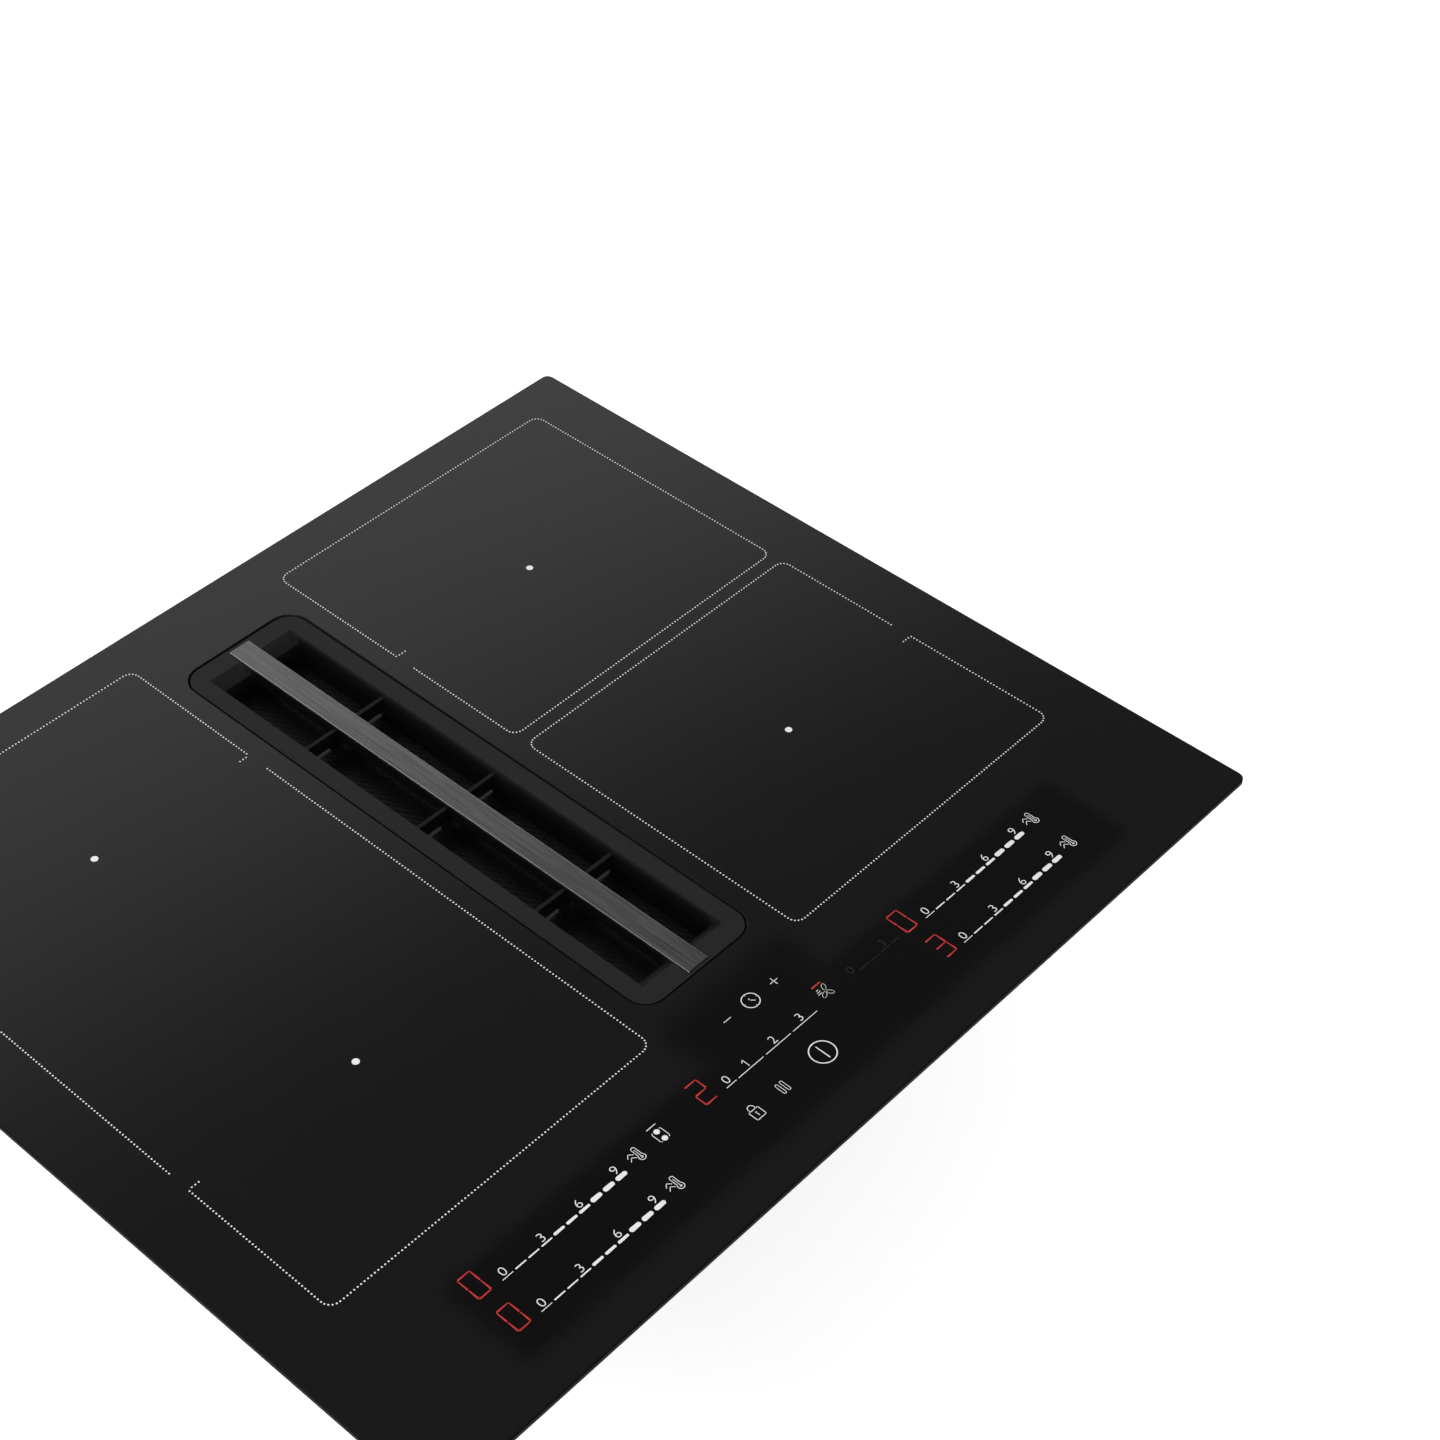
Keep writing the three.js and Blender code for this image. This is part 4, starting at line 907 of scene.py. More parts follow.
paint(duct_polypropylene, "intake_duct")
paint(filter_steel, "filter_frame")
paint(wheel_polyamide, "impeller")
paint(motor_steel, "blower_motor", "blower_shaft", "inlet_ring")
paint(terminal_polycarbonate, "cable_gland")
paint(coil_polyamide, "control_carrier")
paint(circuit_board, "touch_board")
for side in sides:
    paint(slot_shade_mesh, f"filter_mesh_{side}")
    paint(rolled_aluminium, f"coil_plate_{side}", f"heat_sink_{side}")
    paint(ceramic_felt, f"insulation_mat_{side}")
    paint(circuit_board, f"power_board_{side}")
    paint(fan_polybutylene, f"cooling_fan_frame_{side}", f"cooling_fan_rotor_{side}")
    for row in rows:
        paint(coil_polyamide, f"coil_base_{row}_{side}")
        paint(litz_copper, f"coil_winding_{row}_{side}")
        paint(clamp_steel, f"clamp_screw_{row}_{side}")
        soften(f"clamp_{row}_{side}", f"clamp_{row}_{side}_bent", clamp_steel, 0.25)

# %% [markdown]
# ## Printed enamel
#
# The zones, digits and pictograms are screen printed with ceramic enamel and fired on, so
# they stand a few hundredths of a millimetre proud. The red digits are diodes behind a
# diffuser, so their colour is light that they give, not light that they throw back.

# %% Enamel and light of the digits
def make_enamel(name, code, lighter):
    """Fired enamel: matt, and a little thinner here and there where the mesh left it."""
    material, tree, shader, place = start_material(name, code, 0.4)
    speckle = add_node(
        tree,
        "ShaderNodeTexNoise",
        values={"Scale": per_mm(0.8), "Detail": 1.0},
        links={"Vector": place},
    )
    drift_colour(tree, shader, speckle.outputs["Fac"], code, lighter)
    roughen(tree, shader, speckle.outputs["Fac"], 0.02)
    return material


def make_lit_segment():
    """Red light-emitting diodes behind a diffuser, a little brighter in its middle spots."""
    material, tree, shader, place = start_material("lit_red_segment", "#30090a", 0.3)
    spots = add_node(
        tree,
        "ShaderNodeTexNoise",
        values={"Scale": per_mm(4), "Detail": 0.0},
        links={"Vector": place},
    )
    drift_colour(tree, shader, spots.outputs["Fac"], "#a82228", "#e04046", "Emission Color")
    shader.inputs["Emission Strength"].default_value = 0.9
    return material


white_enamel = make_enamel("white_ceramic_enamel", "#ececea", "#fefefc")
unlit_enamel = make_enamel("unlit_slider_film", "#1d1c1e", "#262527")
lit_segment = make_lit_segment()
print(len(bpy.data.materials), "materials with the prints")

# %% [markdown]
# Each print is drawn flat, in millimetres, as faces of a bmesh. Drawing them as faces keeps
# them sharp at any distance, where a texture would need thousands of pixels. Four shapes are
# enough for all of them: a dot, a stroke with round ends, a path of strokes and an arc. At
# the end one extrusion gives a whole print its thickness.

# %% Helpers that draw flat shapes
print_sunk_mm = 0.02
print_thickness_mm = 0.05


def drawn_since(bm, earlier):
    """The vertices that came after the set of earlier ones."""
    return [vert for vert in bm.verts if vert not in earlier]


def dot(bm, x, y, radius, sides=8):
    made = bmesh.ops.create_circle(bm, cap_ends=True, segments=sides, radius=radius)
    bmesh.ops.translate(bm, verts=made["verts"], vec=(x, y, 0))


def stroke(bm, start, end, width, sides=12):
    """A line with round ends: a disc whose one half is pulled out along the line."""
    run = Vector(end) - Vector(start)
    made = bmesh.ops.create_circle(bm, cap_ends=True, segments=sides, radius=width / 2)
    leading = [vert for vert in made["verts"] if vert.co.x > 0.001 * width]
    bmesh.ops.translate(bm, verts=leading, vec=(run.length, 0, 0))
    heading = Matrix.Rotation(math.atan2(run.y, run.x), 3, "Z")
    bmesh.ops.rotate(bm, verts=made["verts"], cent=(0, 0, 0), matrix=heading)
    bmesh.ops.translate(bm, verts=made["verts"], vec=(*start, 0))


def path(bm, points, width):
    for start, end in zip(points, points[1:]):
        stroke(bm, start, end, width)


def arc(bm, x, y, radius, width, start=0, sweep=360, steps=36):
    """A stretch of a ring: a short radial edge, spun about the ring's middle."""
    inner = bm.verts.new((x + radius - width / 2, y, 0))
    outer = bm.verts.new((x + radius + width / 2, y, 0))
    edge = bm.edges.new((inner, outer))
    turned_to = Matrix.Rotation(math.radians(start), 3, "Z")
    bmesh.ops.rotate(bm, verts=[inner, outer], cent=(x, y, 0), matrix=turned_to)
    bmesh.ops.spin(
        bm,
        geom=[inner, outer, edge],
        cent=(x, y, 0),
        axis=(0, 0, 1),
        angle=math.radians(sweep),
        steps=steps,
        use_merge=sweep == 360,
    )


def finish_print(bm, name, material):
    """Gives flat shapes their thickness and sets them a trace deep into the glass."""
    raised = bmesh.ops.extrude_face_region(bm, geom=list(bm.faces))["geom"]
    tops = [part for part in raised if isinstance(part, bmesh.types.BMVert)]
    bmesh.ops.translate(bm, verts=tops, vec=(0, 0, print_thickness_mm))
    bmesh.ops.scale(bm, verts=bm.verts, vec=(MM, MM, MM))
    bmesh.ops.translate(bm, verts=bm.verts, vec=(0, 0, glass_top - print_sunk_mm * MM))
    piece = finish_piece(bm, name, material, body_of("glass_panel"))


# %% [markdown]
# Digits come from Blender's own font. The letter pulls its outline in a little for a lighter
# weight, and the mesh made from it is scaled to the height of the print.

# %% Digits
digit_smoothness = 3
digit_slimming = -0.015
digit_widening = 1.08


def write_digit(bm, digit, x, y, height):
    """A digit of a stated height, with its middle on x, y."""
    letters = bpy.data.curves.new("digit", "FONT")
    letters.body = digit
    letters.resolution_u = digit_smoothness
    letters.offset = digit_slimming
    holder = bpy.data.objects.new("digit", letters)
    outline = bpy.data.meshes.new_from_object(holder)
    earlier = set(bm.verts)
    bm.from_mesh(outline)
    written = drawn_since(bm, earlier)
    low = Vector((min(vert.co.x for vert in written), min(vert.co.y for vert in written), 0))
    high = Vector((max(vert.co.x for vert in written), max(vert.co.y for vert in written), 0))
    size = height / (high.y - low.y)
    bmesh.ops.translate(bm, verts=written, vec=-(low + high) / 2)
    bmesh.ops.scale(bm, verts=written, vec=(digit_widening * size, size, 1))
    bmesh.ops.translate(bm, verts=written, vec=(x, y, 0))
    bpy.data.objects.remove(holder)
    bpy.data.curves.remove(letters)
    bpy.data.meshes.remove(outline)


# %% [markdown]
# The cooking zones are outlined in dots, two millimetres apart. On the left one tall zone
# takes both coils; on the right two zones stand one behind the other. An outline breaks off
# at a notch level with a coil's middle, where a short tick turns inwards and a bigger dot
# marks the coil.

# %% Measures of the zones
zone_inner = 53.25
zone_outer = 259.5
zone_front = -155
zone_rear = 234
zone_split = (36, 45)
zone_corner = 6
zone_dot_pitch = 2.07
zone_dot_radius = 0.46
notch_width = 13
line_tolerance = 0.1
tick_length = 7
coil_mark_radius = 2
front_coil = middle_of("coil_base_front_right")
rear_coil = middle_of("coil_base_rear_right")
rear_notch = (rear_coil.y - notch_width, rear_coil.y)
front_notch = (front_coil.y, front_coil.y + notch_width)
print("coils at y", round(front_coil.y, 2), "and", round(rear_coil.y, 2), "mm")

# %% [markdown]
# A row of dots round a rectangle needs a point at every step. Each quarter of the outline is
# one straight side and one round corner, so four turns of the same rule draw all of it.

# %% Zone outlines
def outline_points(x0, x1, y0, y1, radius, pitch):
    """Points at an even pitch round a rectangle with round corners."""
    middle = Vector(((x0 + x1) / 2, (y0 + y1) / 2))
    reach = Vector(((x1 - x0) / 2 - radius, (y1 - y0) / 2 - radius))
    arc_steps = round(radius * math.pi / 2 / pitch)
    points = []
    for quarter in range(4):
        outwards = Matrix.Rotation(quarter * math.pi / 2, 2) @ Vector((1, 0))
        along = Matrix.Rotation(math.pi / 2, 2) @ outwards
        sideways = Vector((outwards.x * reach.x, outwards.y * reach.y))
        length = 2 * abs(along.x * reach.x + along.y * reach.y)
        first = middle + sideways - along * length / 2 + outwards * radius
        steps = round(length / pitch)
        points += [first + along * length * step / steps for step in range(steps)]
        corner = middle + sideways + along * length / 2
        for step in range(arc_steps):
            turn = Matrix.Rotation(step / arc_steps * math.pi / 2, 2)
            points.append(corner + turn @ outwards * radius)
    return points


def draw_zone(bm, side, y0, y1, rear, front):
    """One dotted zone, with a rear notch on its inner side and a front one on its outer side."""
    x0, x1 = sorted((side * zone_inner, side * zone_outer))
    notches = []
    if rear:
        notches.append((side * zone_inner, rear_notch, rear_coil.y, side))
    if front:
        notches.append((side * zone_outer, front_notch, front_coil.y, -side))
    for point in outline_points(x0, x1, y0, y1, zone_corner, zone_dot_pitch):
        at_notch = any(
            abs(point.x - x) < line_tolerance and low < point.y < high
            for x, (low, high), _, _ in notches
        )
        if not at_notch:
            dot(bm, point.x, point.y, zone_dot_radius)
    for x, _, tick_y, inwards in notches:
        for step in range(1, round(tick_length / zone_dot_pitch) + 1):
            dot(bm, x + inwards * step * zone_dot_pitch, tick_y, zone_dot_radius)


zones = bmesh.new()
draw_zone(zones, -1, zone_front, zone_rear, rear=True, front=True)
draw_zone(zones, 1, zone_split[1], zone_rear, rear=True, front=False)
draw_zone(zones, 1, zone_front, zone_split[0], rear=False, front=True)
for side in (-1, 1):
    dot(zones, side * rear_coil.x, rear_coil.y, coil_mark_radius, sides=24)
    dot(zones, side * front_coil.x, front_coil.y, coil_mark_radius, sides=24)
print(len(zones.faces), "printed dots")
finish_print(zones, "zone_print", white_enamel)

# %% [markdown]
# The controls sit in two rows along the front. Each coil has a slider of ten dashes that
# grow from a hairline to a fat pill, with four digits over it and a boost mark at its end.
# The widths of the dashes are a list, because the real ones step up without a simple rule.

# %% Coil sliders
slider_starts = (-197.3, 100.4)
row_levels = (-199.9, -224.3)
dash_pitch = 8.25
dash_length = 6.8
dash_widths = (0.42, 0.75, 0.75, 0.8, 1.6, 1.6, 1.6, 2.7, 2.7, 2.7)
digit_height = 4.9
digit_gap = 0.9
boost_offset = 88.3


def draw_slider(bm, start, level):
    for index, width in enumerate(dash_widths):
        x = start + index * dash_pitch
        y = level + width / 2
        stroke(bm, (x + width / 2, y), (x + dash_length - width / 2, y), width)
        if index % 3 == 0:
            middle = level + width + digit_gap + digit_height / 2
            write_digit(bm, str(index), x + dash_length / 2, middle, digit_height)


def draw_boost(bm, x, level):
    """Two chevrons, then a thermometer with its column and bulb."""
    pen, column_pen, half, rise = 0.38, 0.32, 1.8, 1.8
    for lift in (3.3, 5.7):
        foot = level + lift
        path(bm, [(x - half, foot), (x, foot + rise), (x + half, foot)], pen)
    stem, bulb, top, column_top = x + 4, level + 1.95, level + 7.8, level + 7.2
    tube_half, bulb_radius, drop_radius = 1.15, 1.75, 0.65
    neck = math.degrees(math.asin(tube_half / bulb_radius))
    shoulder = bulb + bulb_radius * math.cos(math.radians(neck))
    arc(bm, stem, bulb, bulb_radius, pen, 90 + neck, 360 - 2 * neck, 24)
    arc(bm, stem, top, tube_half, pen, 0, 180, 10)
    for side in (-1, 1):
        stroke(bm, (stem + side * tube_half, shoulder), (stem + side * tube_half, top), pen)
    stroke(bm, (stem, bulb), (stem, column_top), column_pen)
    dot(bm, stem, bulb, drop_radius)


sliders = bmesh.new()
for start in slider_starts:
    for level in row_levels:
        draw_slider(sliders, start, level)
        draw_boost(sliders, start + boost_offset, level)
finish_print(sliders, "slider_print", white_enamel)

# %% [markdown]
# In the middle are the timer, the fan's slider, lock, pause and power, and by the left
# sliders a mark for two coils that work as one. Each pictogram is a short function of strokes
# and arcs round its own middle, so it can be set down anywhere.

# %% Timer, lock, pause, power and coupled coils
def draw_timer(bm, x, y):
    """A clock between a minus and a plus."""
    face_radius, face_pen, hand_pen, tick_pen, sign_pen = 4.65, 0.5, 0.45, 0.35, 0.42
    tick_start, tick_end = 3.9, 4.5
    sign_offset, sign_half = 17, 2.4
    arc(bm, x, y, face_radius, face_pen)
    path(bm, [(x - 0.1, y + 1.4), (x, y + 0.2), (x + 1.7, y - 1.5)], hand_pen)
    middle = Vector((x, y))
    for quarter in range(4):
        outwards = Matrix.Rotation(quarter * math.pi / 2, 2) @ Vector((1, 0))
        stroke(bm, middle + tick_start * outwards, middle + tick_end * outwards, tick_pen)
    for side in (-1, 1):
        sign = x + side * sign_offset
        stroke(bm, (sign - sign_half, y), (sign + sign_half, y), sign_pen)
    plus = x + sign_offset
    stroke(bm, (plus, y - sign_half), (plus, y + sign_half), sign_pen)


def draw_lock(bm, x, y):
    """A padlock: body, shackle and keyhole."""
    pen, hole_pen, hole_radius = 0.42, 0.45, 0.5
    half, low, high = 3, y - 4.8, y + 0.9
    left, right = x - half, x + half
    path(bm, [(left, low), (right, low), (right, high), (left, high), (left, low)], pen)
    shackle, shackle_foot = 1.8, high + 1.3
    arc(bm, x, shackle_foot, shackle, pen, 0, 180, 16)
    for side in (-1, 1):
        stroke(bm, (x + side * shackle, high), (x + side * shackle, shackle_foot), pen)
    hole = y - 1.1
    stroke(bm, (x, hole), (x, y - 3.2), hole_pen)
    dot(bm, x, hole, hole_radius)


def draw_pause(bm, x, y):
    """Two upright bars in outline, with round ends."""
    half_gap, half_width, half_height, pen = 1.55, 0.78, 2.6, 0.32
    for side in (-1, 1):
        middle = x + side * half_gap
        for edge in (-half_width, half_width):
            stroke(bm, (middle + edge, y - half_height), (middle + edge, y + half_height), pen)
        arc(bm, middle, y + half_height, half_width, pen, 0, 180, 8)
        arc(bm, middle, y - half_height, half_width, pen, 180, 180, 8)


def draw_power(bm, x, y):
    """A ring round one upright stroke."""
    radius, half, pen = 6.9, 4.4, 0.6
    arc(bm, x, y, radius, pen, steps=48)
    stroke(bm, (x, y - half), (x, y + half), pen)


def draw_bridge(bm, x, y):
    """Two coils that work as one: two dots between brackets, under a bar."""
    bar_level, bar_half, bar_pen, bracket_pen = y + 6.4, 2.8, 0.5, 0.4
    coil_offset, coil_radius = 2.6, 1.55
    stroke(bm, (x - bar_half, bar_level), (x + bar_half, bar_level), bar_pen)
    for side in (-1, 1):
        near, far = x + side * 2.4, x + side * 3
        bracket = [(near, y + 3.3), (far, y + 2.9), (far, y - 2.9), (near, y - 3.3)]
        path(bm, bracket, bracket_pen)
        dot(bm, x, y + side * coil_offset, coil_radius, sides=20)


icons = bmesh.new()
draw_timer(icons, 0, -171.4)
draw_lock(icons, -49.8, -218.3)
draw_pause(icons, -30, -218.6)
draw_power(icons, -0.75, -218.4)
draw_bridge(icons, -90, -195.6)
print(len(icons.faces), "faces in the first pictograms")

# %% [markdown]
# The fan's mark is a propeller in outline. A blade is an ellipse whose long axis points away
# from the hub, drawn as a closed path, and three blades share the rule. The slider beside it
# has four dashes of different lengths, and its 1 is a flag and a stem.

# %% Fan and its slider
fan_runs = ((-48.2, -41.7), (-39.9, -22.4), (-20.2, -2.7), (-0.7, 16.8))
fan_digit_lift = 3.8


def draw_fan(bm, x, y):
    """A propeller of three blades in outline, with three lines of moving air."""
    pen, air_pen, steps = 0.38, 0.35, 16
    blade_middle, blade_half_length, blade_half_width = 2.6, 2.1, 1.05
    for heading in (60, 300, 215):
        outwards = Matrix.Rotation(math.radians(heading), 2) @ Vector((1, 0))
        across = Matrix.Rotation(math.pi / 2, 2) @ outwards
        loop = []
        for step in range(steps + 1):
            angle = step / steps * 2 * math.pi
            along = blade_middle + blade_half_length * math.cos(angle)
            aside = blade_half_width * math.sin(angle)
            loop.append(Vector((x, y)) + along * outwards + aside * across)
        path(bm, loop, pen)
    first_line, line_pitch, slope = 0.4, 1.25, 0.1
    for line, (start, end) in enumerate([(4.6, 2.2), (4.1, 1.8), (3.4, 2.0)]):
        lift = first_line + line_pitch * line
        stroke(bm, (x - start, y + lift - slope), (x - end, y + lift + slope), air_pen)


def draw_fan_slider(bm, level):
    pen = 0.42
    for digit, (start, end) in enumerate(fan_runs):
        stroke(bm, (start, level), (end, level), pen)
        middle, height = (start + end) / 2, level + fan_digit_lift
        if digit == 1:
            stem, half = middle + 0.3, digit_height / 2
            flag = (middle - 1.1, height + 1.1)
            path(bm, [flag, (stem, height + half), (stem, height - half)], pen)
        else:
            write_digit(bm, str(digit), middle, height, digit_height)


draw_fan(icons, 29.5, -194)
draw_fan_slider(icons, -199.5)
finish_print(icons, "control_print", white_enamel)

# %% [markdown]
# One slider is asleep. Its print is there but not lit from below, so it shows only as a
# slightly lighter black. It gets a dark film of its own instead of the white enamel.

# %% Slider that stays unlit
unlit_level = -197.9
unlit_digit_level = -194.3
unlit = bmesh.new()
for digit, x in (("0", 47.8), ("3", 72.5)):
    write_digit(unlit, digit, x, unlit_digit_level, digit_height)
for start, end in ((51, 58), (60, 66.5), (68, 74), (76, 81)):
    stroke(unlit, (start, unlit_level), (end, unlit_level), 0.45)
finish_print(unlit, "unlit_slider", unlit_enamel)

# %% [markdown]
# The red digits are seven-segment displays behind the glass. Each lit bar is a six-sided
# stroke, so its ends come to a point, and small gaps part it from its neighbours.

# %% Seven-segment digits
lit_segments = {"0": "abcdef", "2": "abged", "3": "abgcd"}
segment_pen = 0.9
upper_display = -192.2
lower_display = -216.9
display_places = (
    ("0", 90.4, upper_display),
    ("3", 91, lower_display),
    ("0", -207.5, upper_display),
    ("0", -207.5, lower_display),
    ("2", -58.6, upper_display),
)


def draw_segments(bm, digit, x, y):
    half_x, half_y, inset = 3.75, 7.1, 0.6
    left, right, low, high = x - half_x, x + half_x, y - half_y, y + half_y
    ends = {
        "a": ((left + inset, high), (right - inset, high)),
        "g": ((left + inset, y), (right - inset, y)),
        "d": ((left + inset, low), (right - inset, low)),
        "f": ((left, y + inset), (left, high - inset)),
        "b": ((right, y + inset), (right, high - inset)),
        "e": ((left, low + inset), (left, y - inset)),
        "c": ((right, low + inset), (right, y - inset)),
    }
    for letter in lit_segments[digit]:
        stroke(bm, *ends[letter], segment_pen, sides=6)


displays = bmesh.new()
for digit, x, y in display_places:
    draw_segments(displays, digit, x, y)
stroke(displays, (26.2, -188.3), (31.7, -188.3), segment_pen)
finish_print(displays, "lit_displays", lit_segment)

# %% [markdown]
# ## Fasteners and fittings
#
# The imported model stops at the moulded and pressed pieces. The small things that hold them
# together are drawn here, in millimetres, each kind once and then set in place many times.
# First come the helpers: one that pulls a flat face out into a solid, one that turns a shape
# from lying flat to standing on a wall, and one that hands the finished shape over.

# %% Helpers for small parts
def pull(bm, faces, distance):
    """Extrudes faces along z and returns the new faces."""
    raised = bmesh.ops.extrude_face_region(bm, geom=faces)["geom"]
    verts = [part for part in raised if isinstance(part, bmesh.types.BMVert)]
    bmesh.ops.translate(bm, verts=verts, vec=(0, 0, distance))
    return [part for part in raised if isinstance(part, bmesh.types.BMFace)]


def disc(bm, sides, radius):
    """A flat disc round the origin, as a list of its one face."""
    made = bmesh.ops.create_circle(bm, cap_ends=True, segments=sides, radius=radius)
    return [made["verts"][0].link_faces[0]]


def rounded_plate(bm, width, length, corner):
    """A flat rectangle with round corners round the origin, as a list of its one face."""
    earlier = set(bm.faces)
    made = bmesh.ops.create_grid(bm, x_segments=1, y_segments=1, size=0.5)
    bmesh.ops.scale(bm, verts=made["verts"], vec=(width, length, 1))
    bmesh.ops.bevel(
        bm,
        geom=made["verts"],
        offset=corner,
        offset_type="OFFSET",
        affect="VERTICES",
        segments=3,
        profile=0.5,
        material=-1,
    )
    return [face for face in bm.faces if face not in earlier]


def stand(bm, verts, place, outwards):
    """Turns a shape drawn on the xy plane so that its z points outwards, then moves it."""
    turned = Vector(outwards).normalized().to_track_quat("Z", "Y").to_matrix()
    bmesh.ops.rotate(bm, verts=verts, cent=(0, 0, 0), matrix=turned)
    bmesh.ops.translate(bm, verts=verts, vec=place)


def finish_fitting(bm, name, material, node_name):
    """Hands over a shape drawn in millimetres; it rides with the body of a node."""
    bmesh.ops.scale(bm, verts=bm.verts, vec=(MM, MM, MM))
    piece = finish_piece(bm, name, material, body_of(node_name))


# %% [markdown]
# Every screw has a low domed head with a six-lobed recess. A circle of twelve points is
# pulled up twice, narrower the second time. The recess is an inset of the top face whose
# every other point is drawn inwards before it is pushed down.

# %% Screw heads
dome_narrowing = 0.74
recess_margin = 0.24
lobe_narrowing = 0.66
recess_depth = 0.7


def add_screw(bm, place, outwards, radius=2.8, height=1.9):
    earlier = set(bm.verts)
    top = pull(bm, disc(bm, 12, radius), 0.5 * height)
    top = pull(bm, top, 0.5 * height)
    bmesh.ops.scale(bm, verts=top[0].verts, vec=(dome_narrowing, dome_narrowing, 1))
    bmesh.ops.inset_region(bm, faces=top, thickness=recess_margin * radius)
    lobes = list(top[0].verts)[::2]
    bmesh.ops.scale(bm, verts=lobes, vec=(lobe_narrowing, lobe_narrowing, 1))
    pull(bm, top, -recess_depth * height)
    stand(bm, drawn_since(bm, earlier), place, outwards)


# %% [markdown]
# ### Blower flanges
#
# The two shells of the blower are screwed together through the flange at half height. The
# flange follows the spiral, so a ray cast at it from outside finds each seat: where the ray
# meets the rim, the screw goes two and a half millimetres inwards. A moulded boss below
# takes its thread.

# %% Seats on the blower's flange
from mathutils.bvhtree import BVHTree

blower_middle = middle_of("blower_shaft").xy
flange_thickness = 2.4
flange_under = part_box("blower_lower_shell")[1].z / MM - flange_thickness
flange_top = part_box("blower_upper_shell")[0].z / MM + flange_thickness
ray_start = 400
ray_level = 45.5
seat_depth = 2.5
seat_angles = (8, 52, 76, 104, 128, 152, 176, 200, 224, 248, 272, 296, 320, 344)


def flange_seats(level, angles):
    """Seats on the lower shell's flange, seen from the blower's middle at these angles."""
    shell = nodes["blower_lower_shell"].data
    corners = [vert.co / MM for vert in shell.vertices]
    tree = BVHTree.FromPolygons(corners, [list(face.vertices) for face in shell.polygons])
    seats = []
    for angle in angles:
        outwards = Matrix.Rotation(math.radians(angle), 2) @ Vector((1, 0))
        start = blower_middle + ray_start * outwards
        hit, normal, _, _ = tree.ray_cast(Vector((*start, level)), -outwards.to_3d())
        seats.append(hit - normal * seat_depth)
    return seats


seats = flange_seats(ray_level, seat_angles)
print(len(seats), "seats between", round(flange_under, 1), "and", round(flange_top, 1), "mm")

# %% Screws and bosses of the blower
boss_radius = 2.4
boss_height = 8
boss_tip = 1
boss_narrowing = 0.75

screws = bmesh.new()
bosses = bmesh.new()
for seat in seats:
    add_screw(screws, (seat.x, seat.y, flange_top), (0, 0, 1), radius=2.3, height=1.8)
    earlier = set(bosses.verts)
    end = pull(bosses, disc(bosses, 12, boss_radius), boss_height)
    end = pull(bosses, end, boss_tip)
    bmesh.ops.scale(bosses, verts=end[0].verts, vec=(boss_narrowing, boss_narrowing, 1))
    stand(bosses, drawn_since(bosses, earlier), (seat.x, seat.y, flange_under), (0, 0, -1))
finish_fitting(screws, "blower_screws", clamp_steel, "blower_upper_shell")
finish_fitting(
    bosses, "blower_screw_bosses", duct_polypropylene, "blower_lower_shell"
)

# %% [markdown]
# ### Plenum clips
#
# The plenum's cover snaps onto the tub. Each clip is a moulded loop on the outside of the
# flange: a small plate with a window, through which the tub's wedge is seen. The wedge is
# the window's own floor, pulled out again and tipped.

# %% Clips round the plenum
def add_clip(bm, place, outwards):
    width, height, corner, thickness = 12, 7, 1.2, 1.8
    frame_width, window_depth = 1.7, 1.1
    wedge_gap, wedge_height, wedge_tip = 0.5, 0.9, 0.7
    earlier = set(bm.verts)
    front = pull(bm, rounded_plate(bm, width, height, corner), thickness)
    bmesh.ops.inset_region(bm, faces=front, thickness=frame_width)
    window = pull(bm, front, -window_depth)
    bmesh.ops.inset_region(bm, faces=window, thickness=wedge_gap)
    wedge = pull(bm, window, wedge_height)
    upper = sorted(wedge[0].verts, key=lambda vert: vert.co.y)[-4:]
    bmesh.ops.translate(bm, verts=upper, vec=(0, 0, -wedge_tip))
    stand(bm, drawn_since(bm, earlier), place, outwards)


cover_low, cover_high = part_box("plenum_cover")
clip_drop = 1.2
clip_level = cover_low.z / MM - clip_drop
wide_half = cover_high.x / MM
wide_clips = (45, 105, 165)
narrow_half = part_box("sump_housing")[1].x / MM
narrow_clips = (-110, -65, -20)
rear_clips = (-40, 40)

clips = bmesh.new()
for side in (-1, 1):
    for y in wide_clips:
        add_clip(clips, (side * wide_half, y, clip_level), (side, 0, 0))
    for y in narrow_clips:
        add_clip(clips, (side * narrow_half, y, clip_level), (side, 0, 0))
for x in rear_clips:
    add_clip(clips, (x, cover_high.y / MM, clip_level), (0, 1, 0))
add_clip(clips, (0, cover_low.y / MM, clip_level), (0, -1, 0))
finish_fitting(clips, "plenum_clips", duct_polypropylene, "plenum_cover")

# %% [markdown]
# ### Overflow container
#
# The container is pulled out by hand from the front. Round the grip slot runs a raised
# frame, and below it three ribs give the fingers of the other hand a hold. Both are moulded
# with the container, so they share its material and move with it.

# %% Relief on the container's front
grip_frame_size = (55, 21.5)
grip_frame_corner = 4
grip_frame_width = 2.5
grip_frame_height = 0.9
grip_level = 73
grip_rib_size = (60, 2.4)
grip_rib_corner = 1.1
grip_rib_height = 1.0
grip_rib_crest = (0.98, 0.6, 1)
grip_rib_levels = (22, 31, 40)
relief_sunk = 0.1
relief_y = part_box("overflow_container")[0].y / MM + relief_sunk

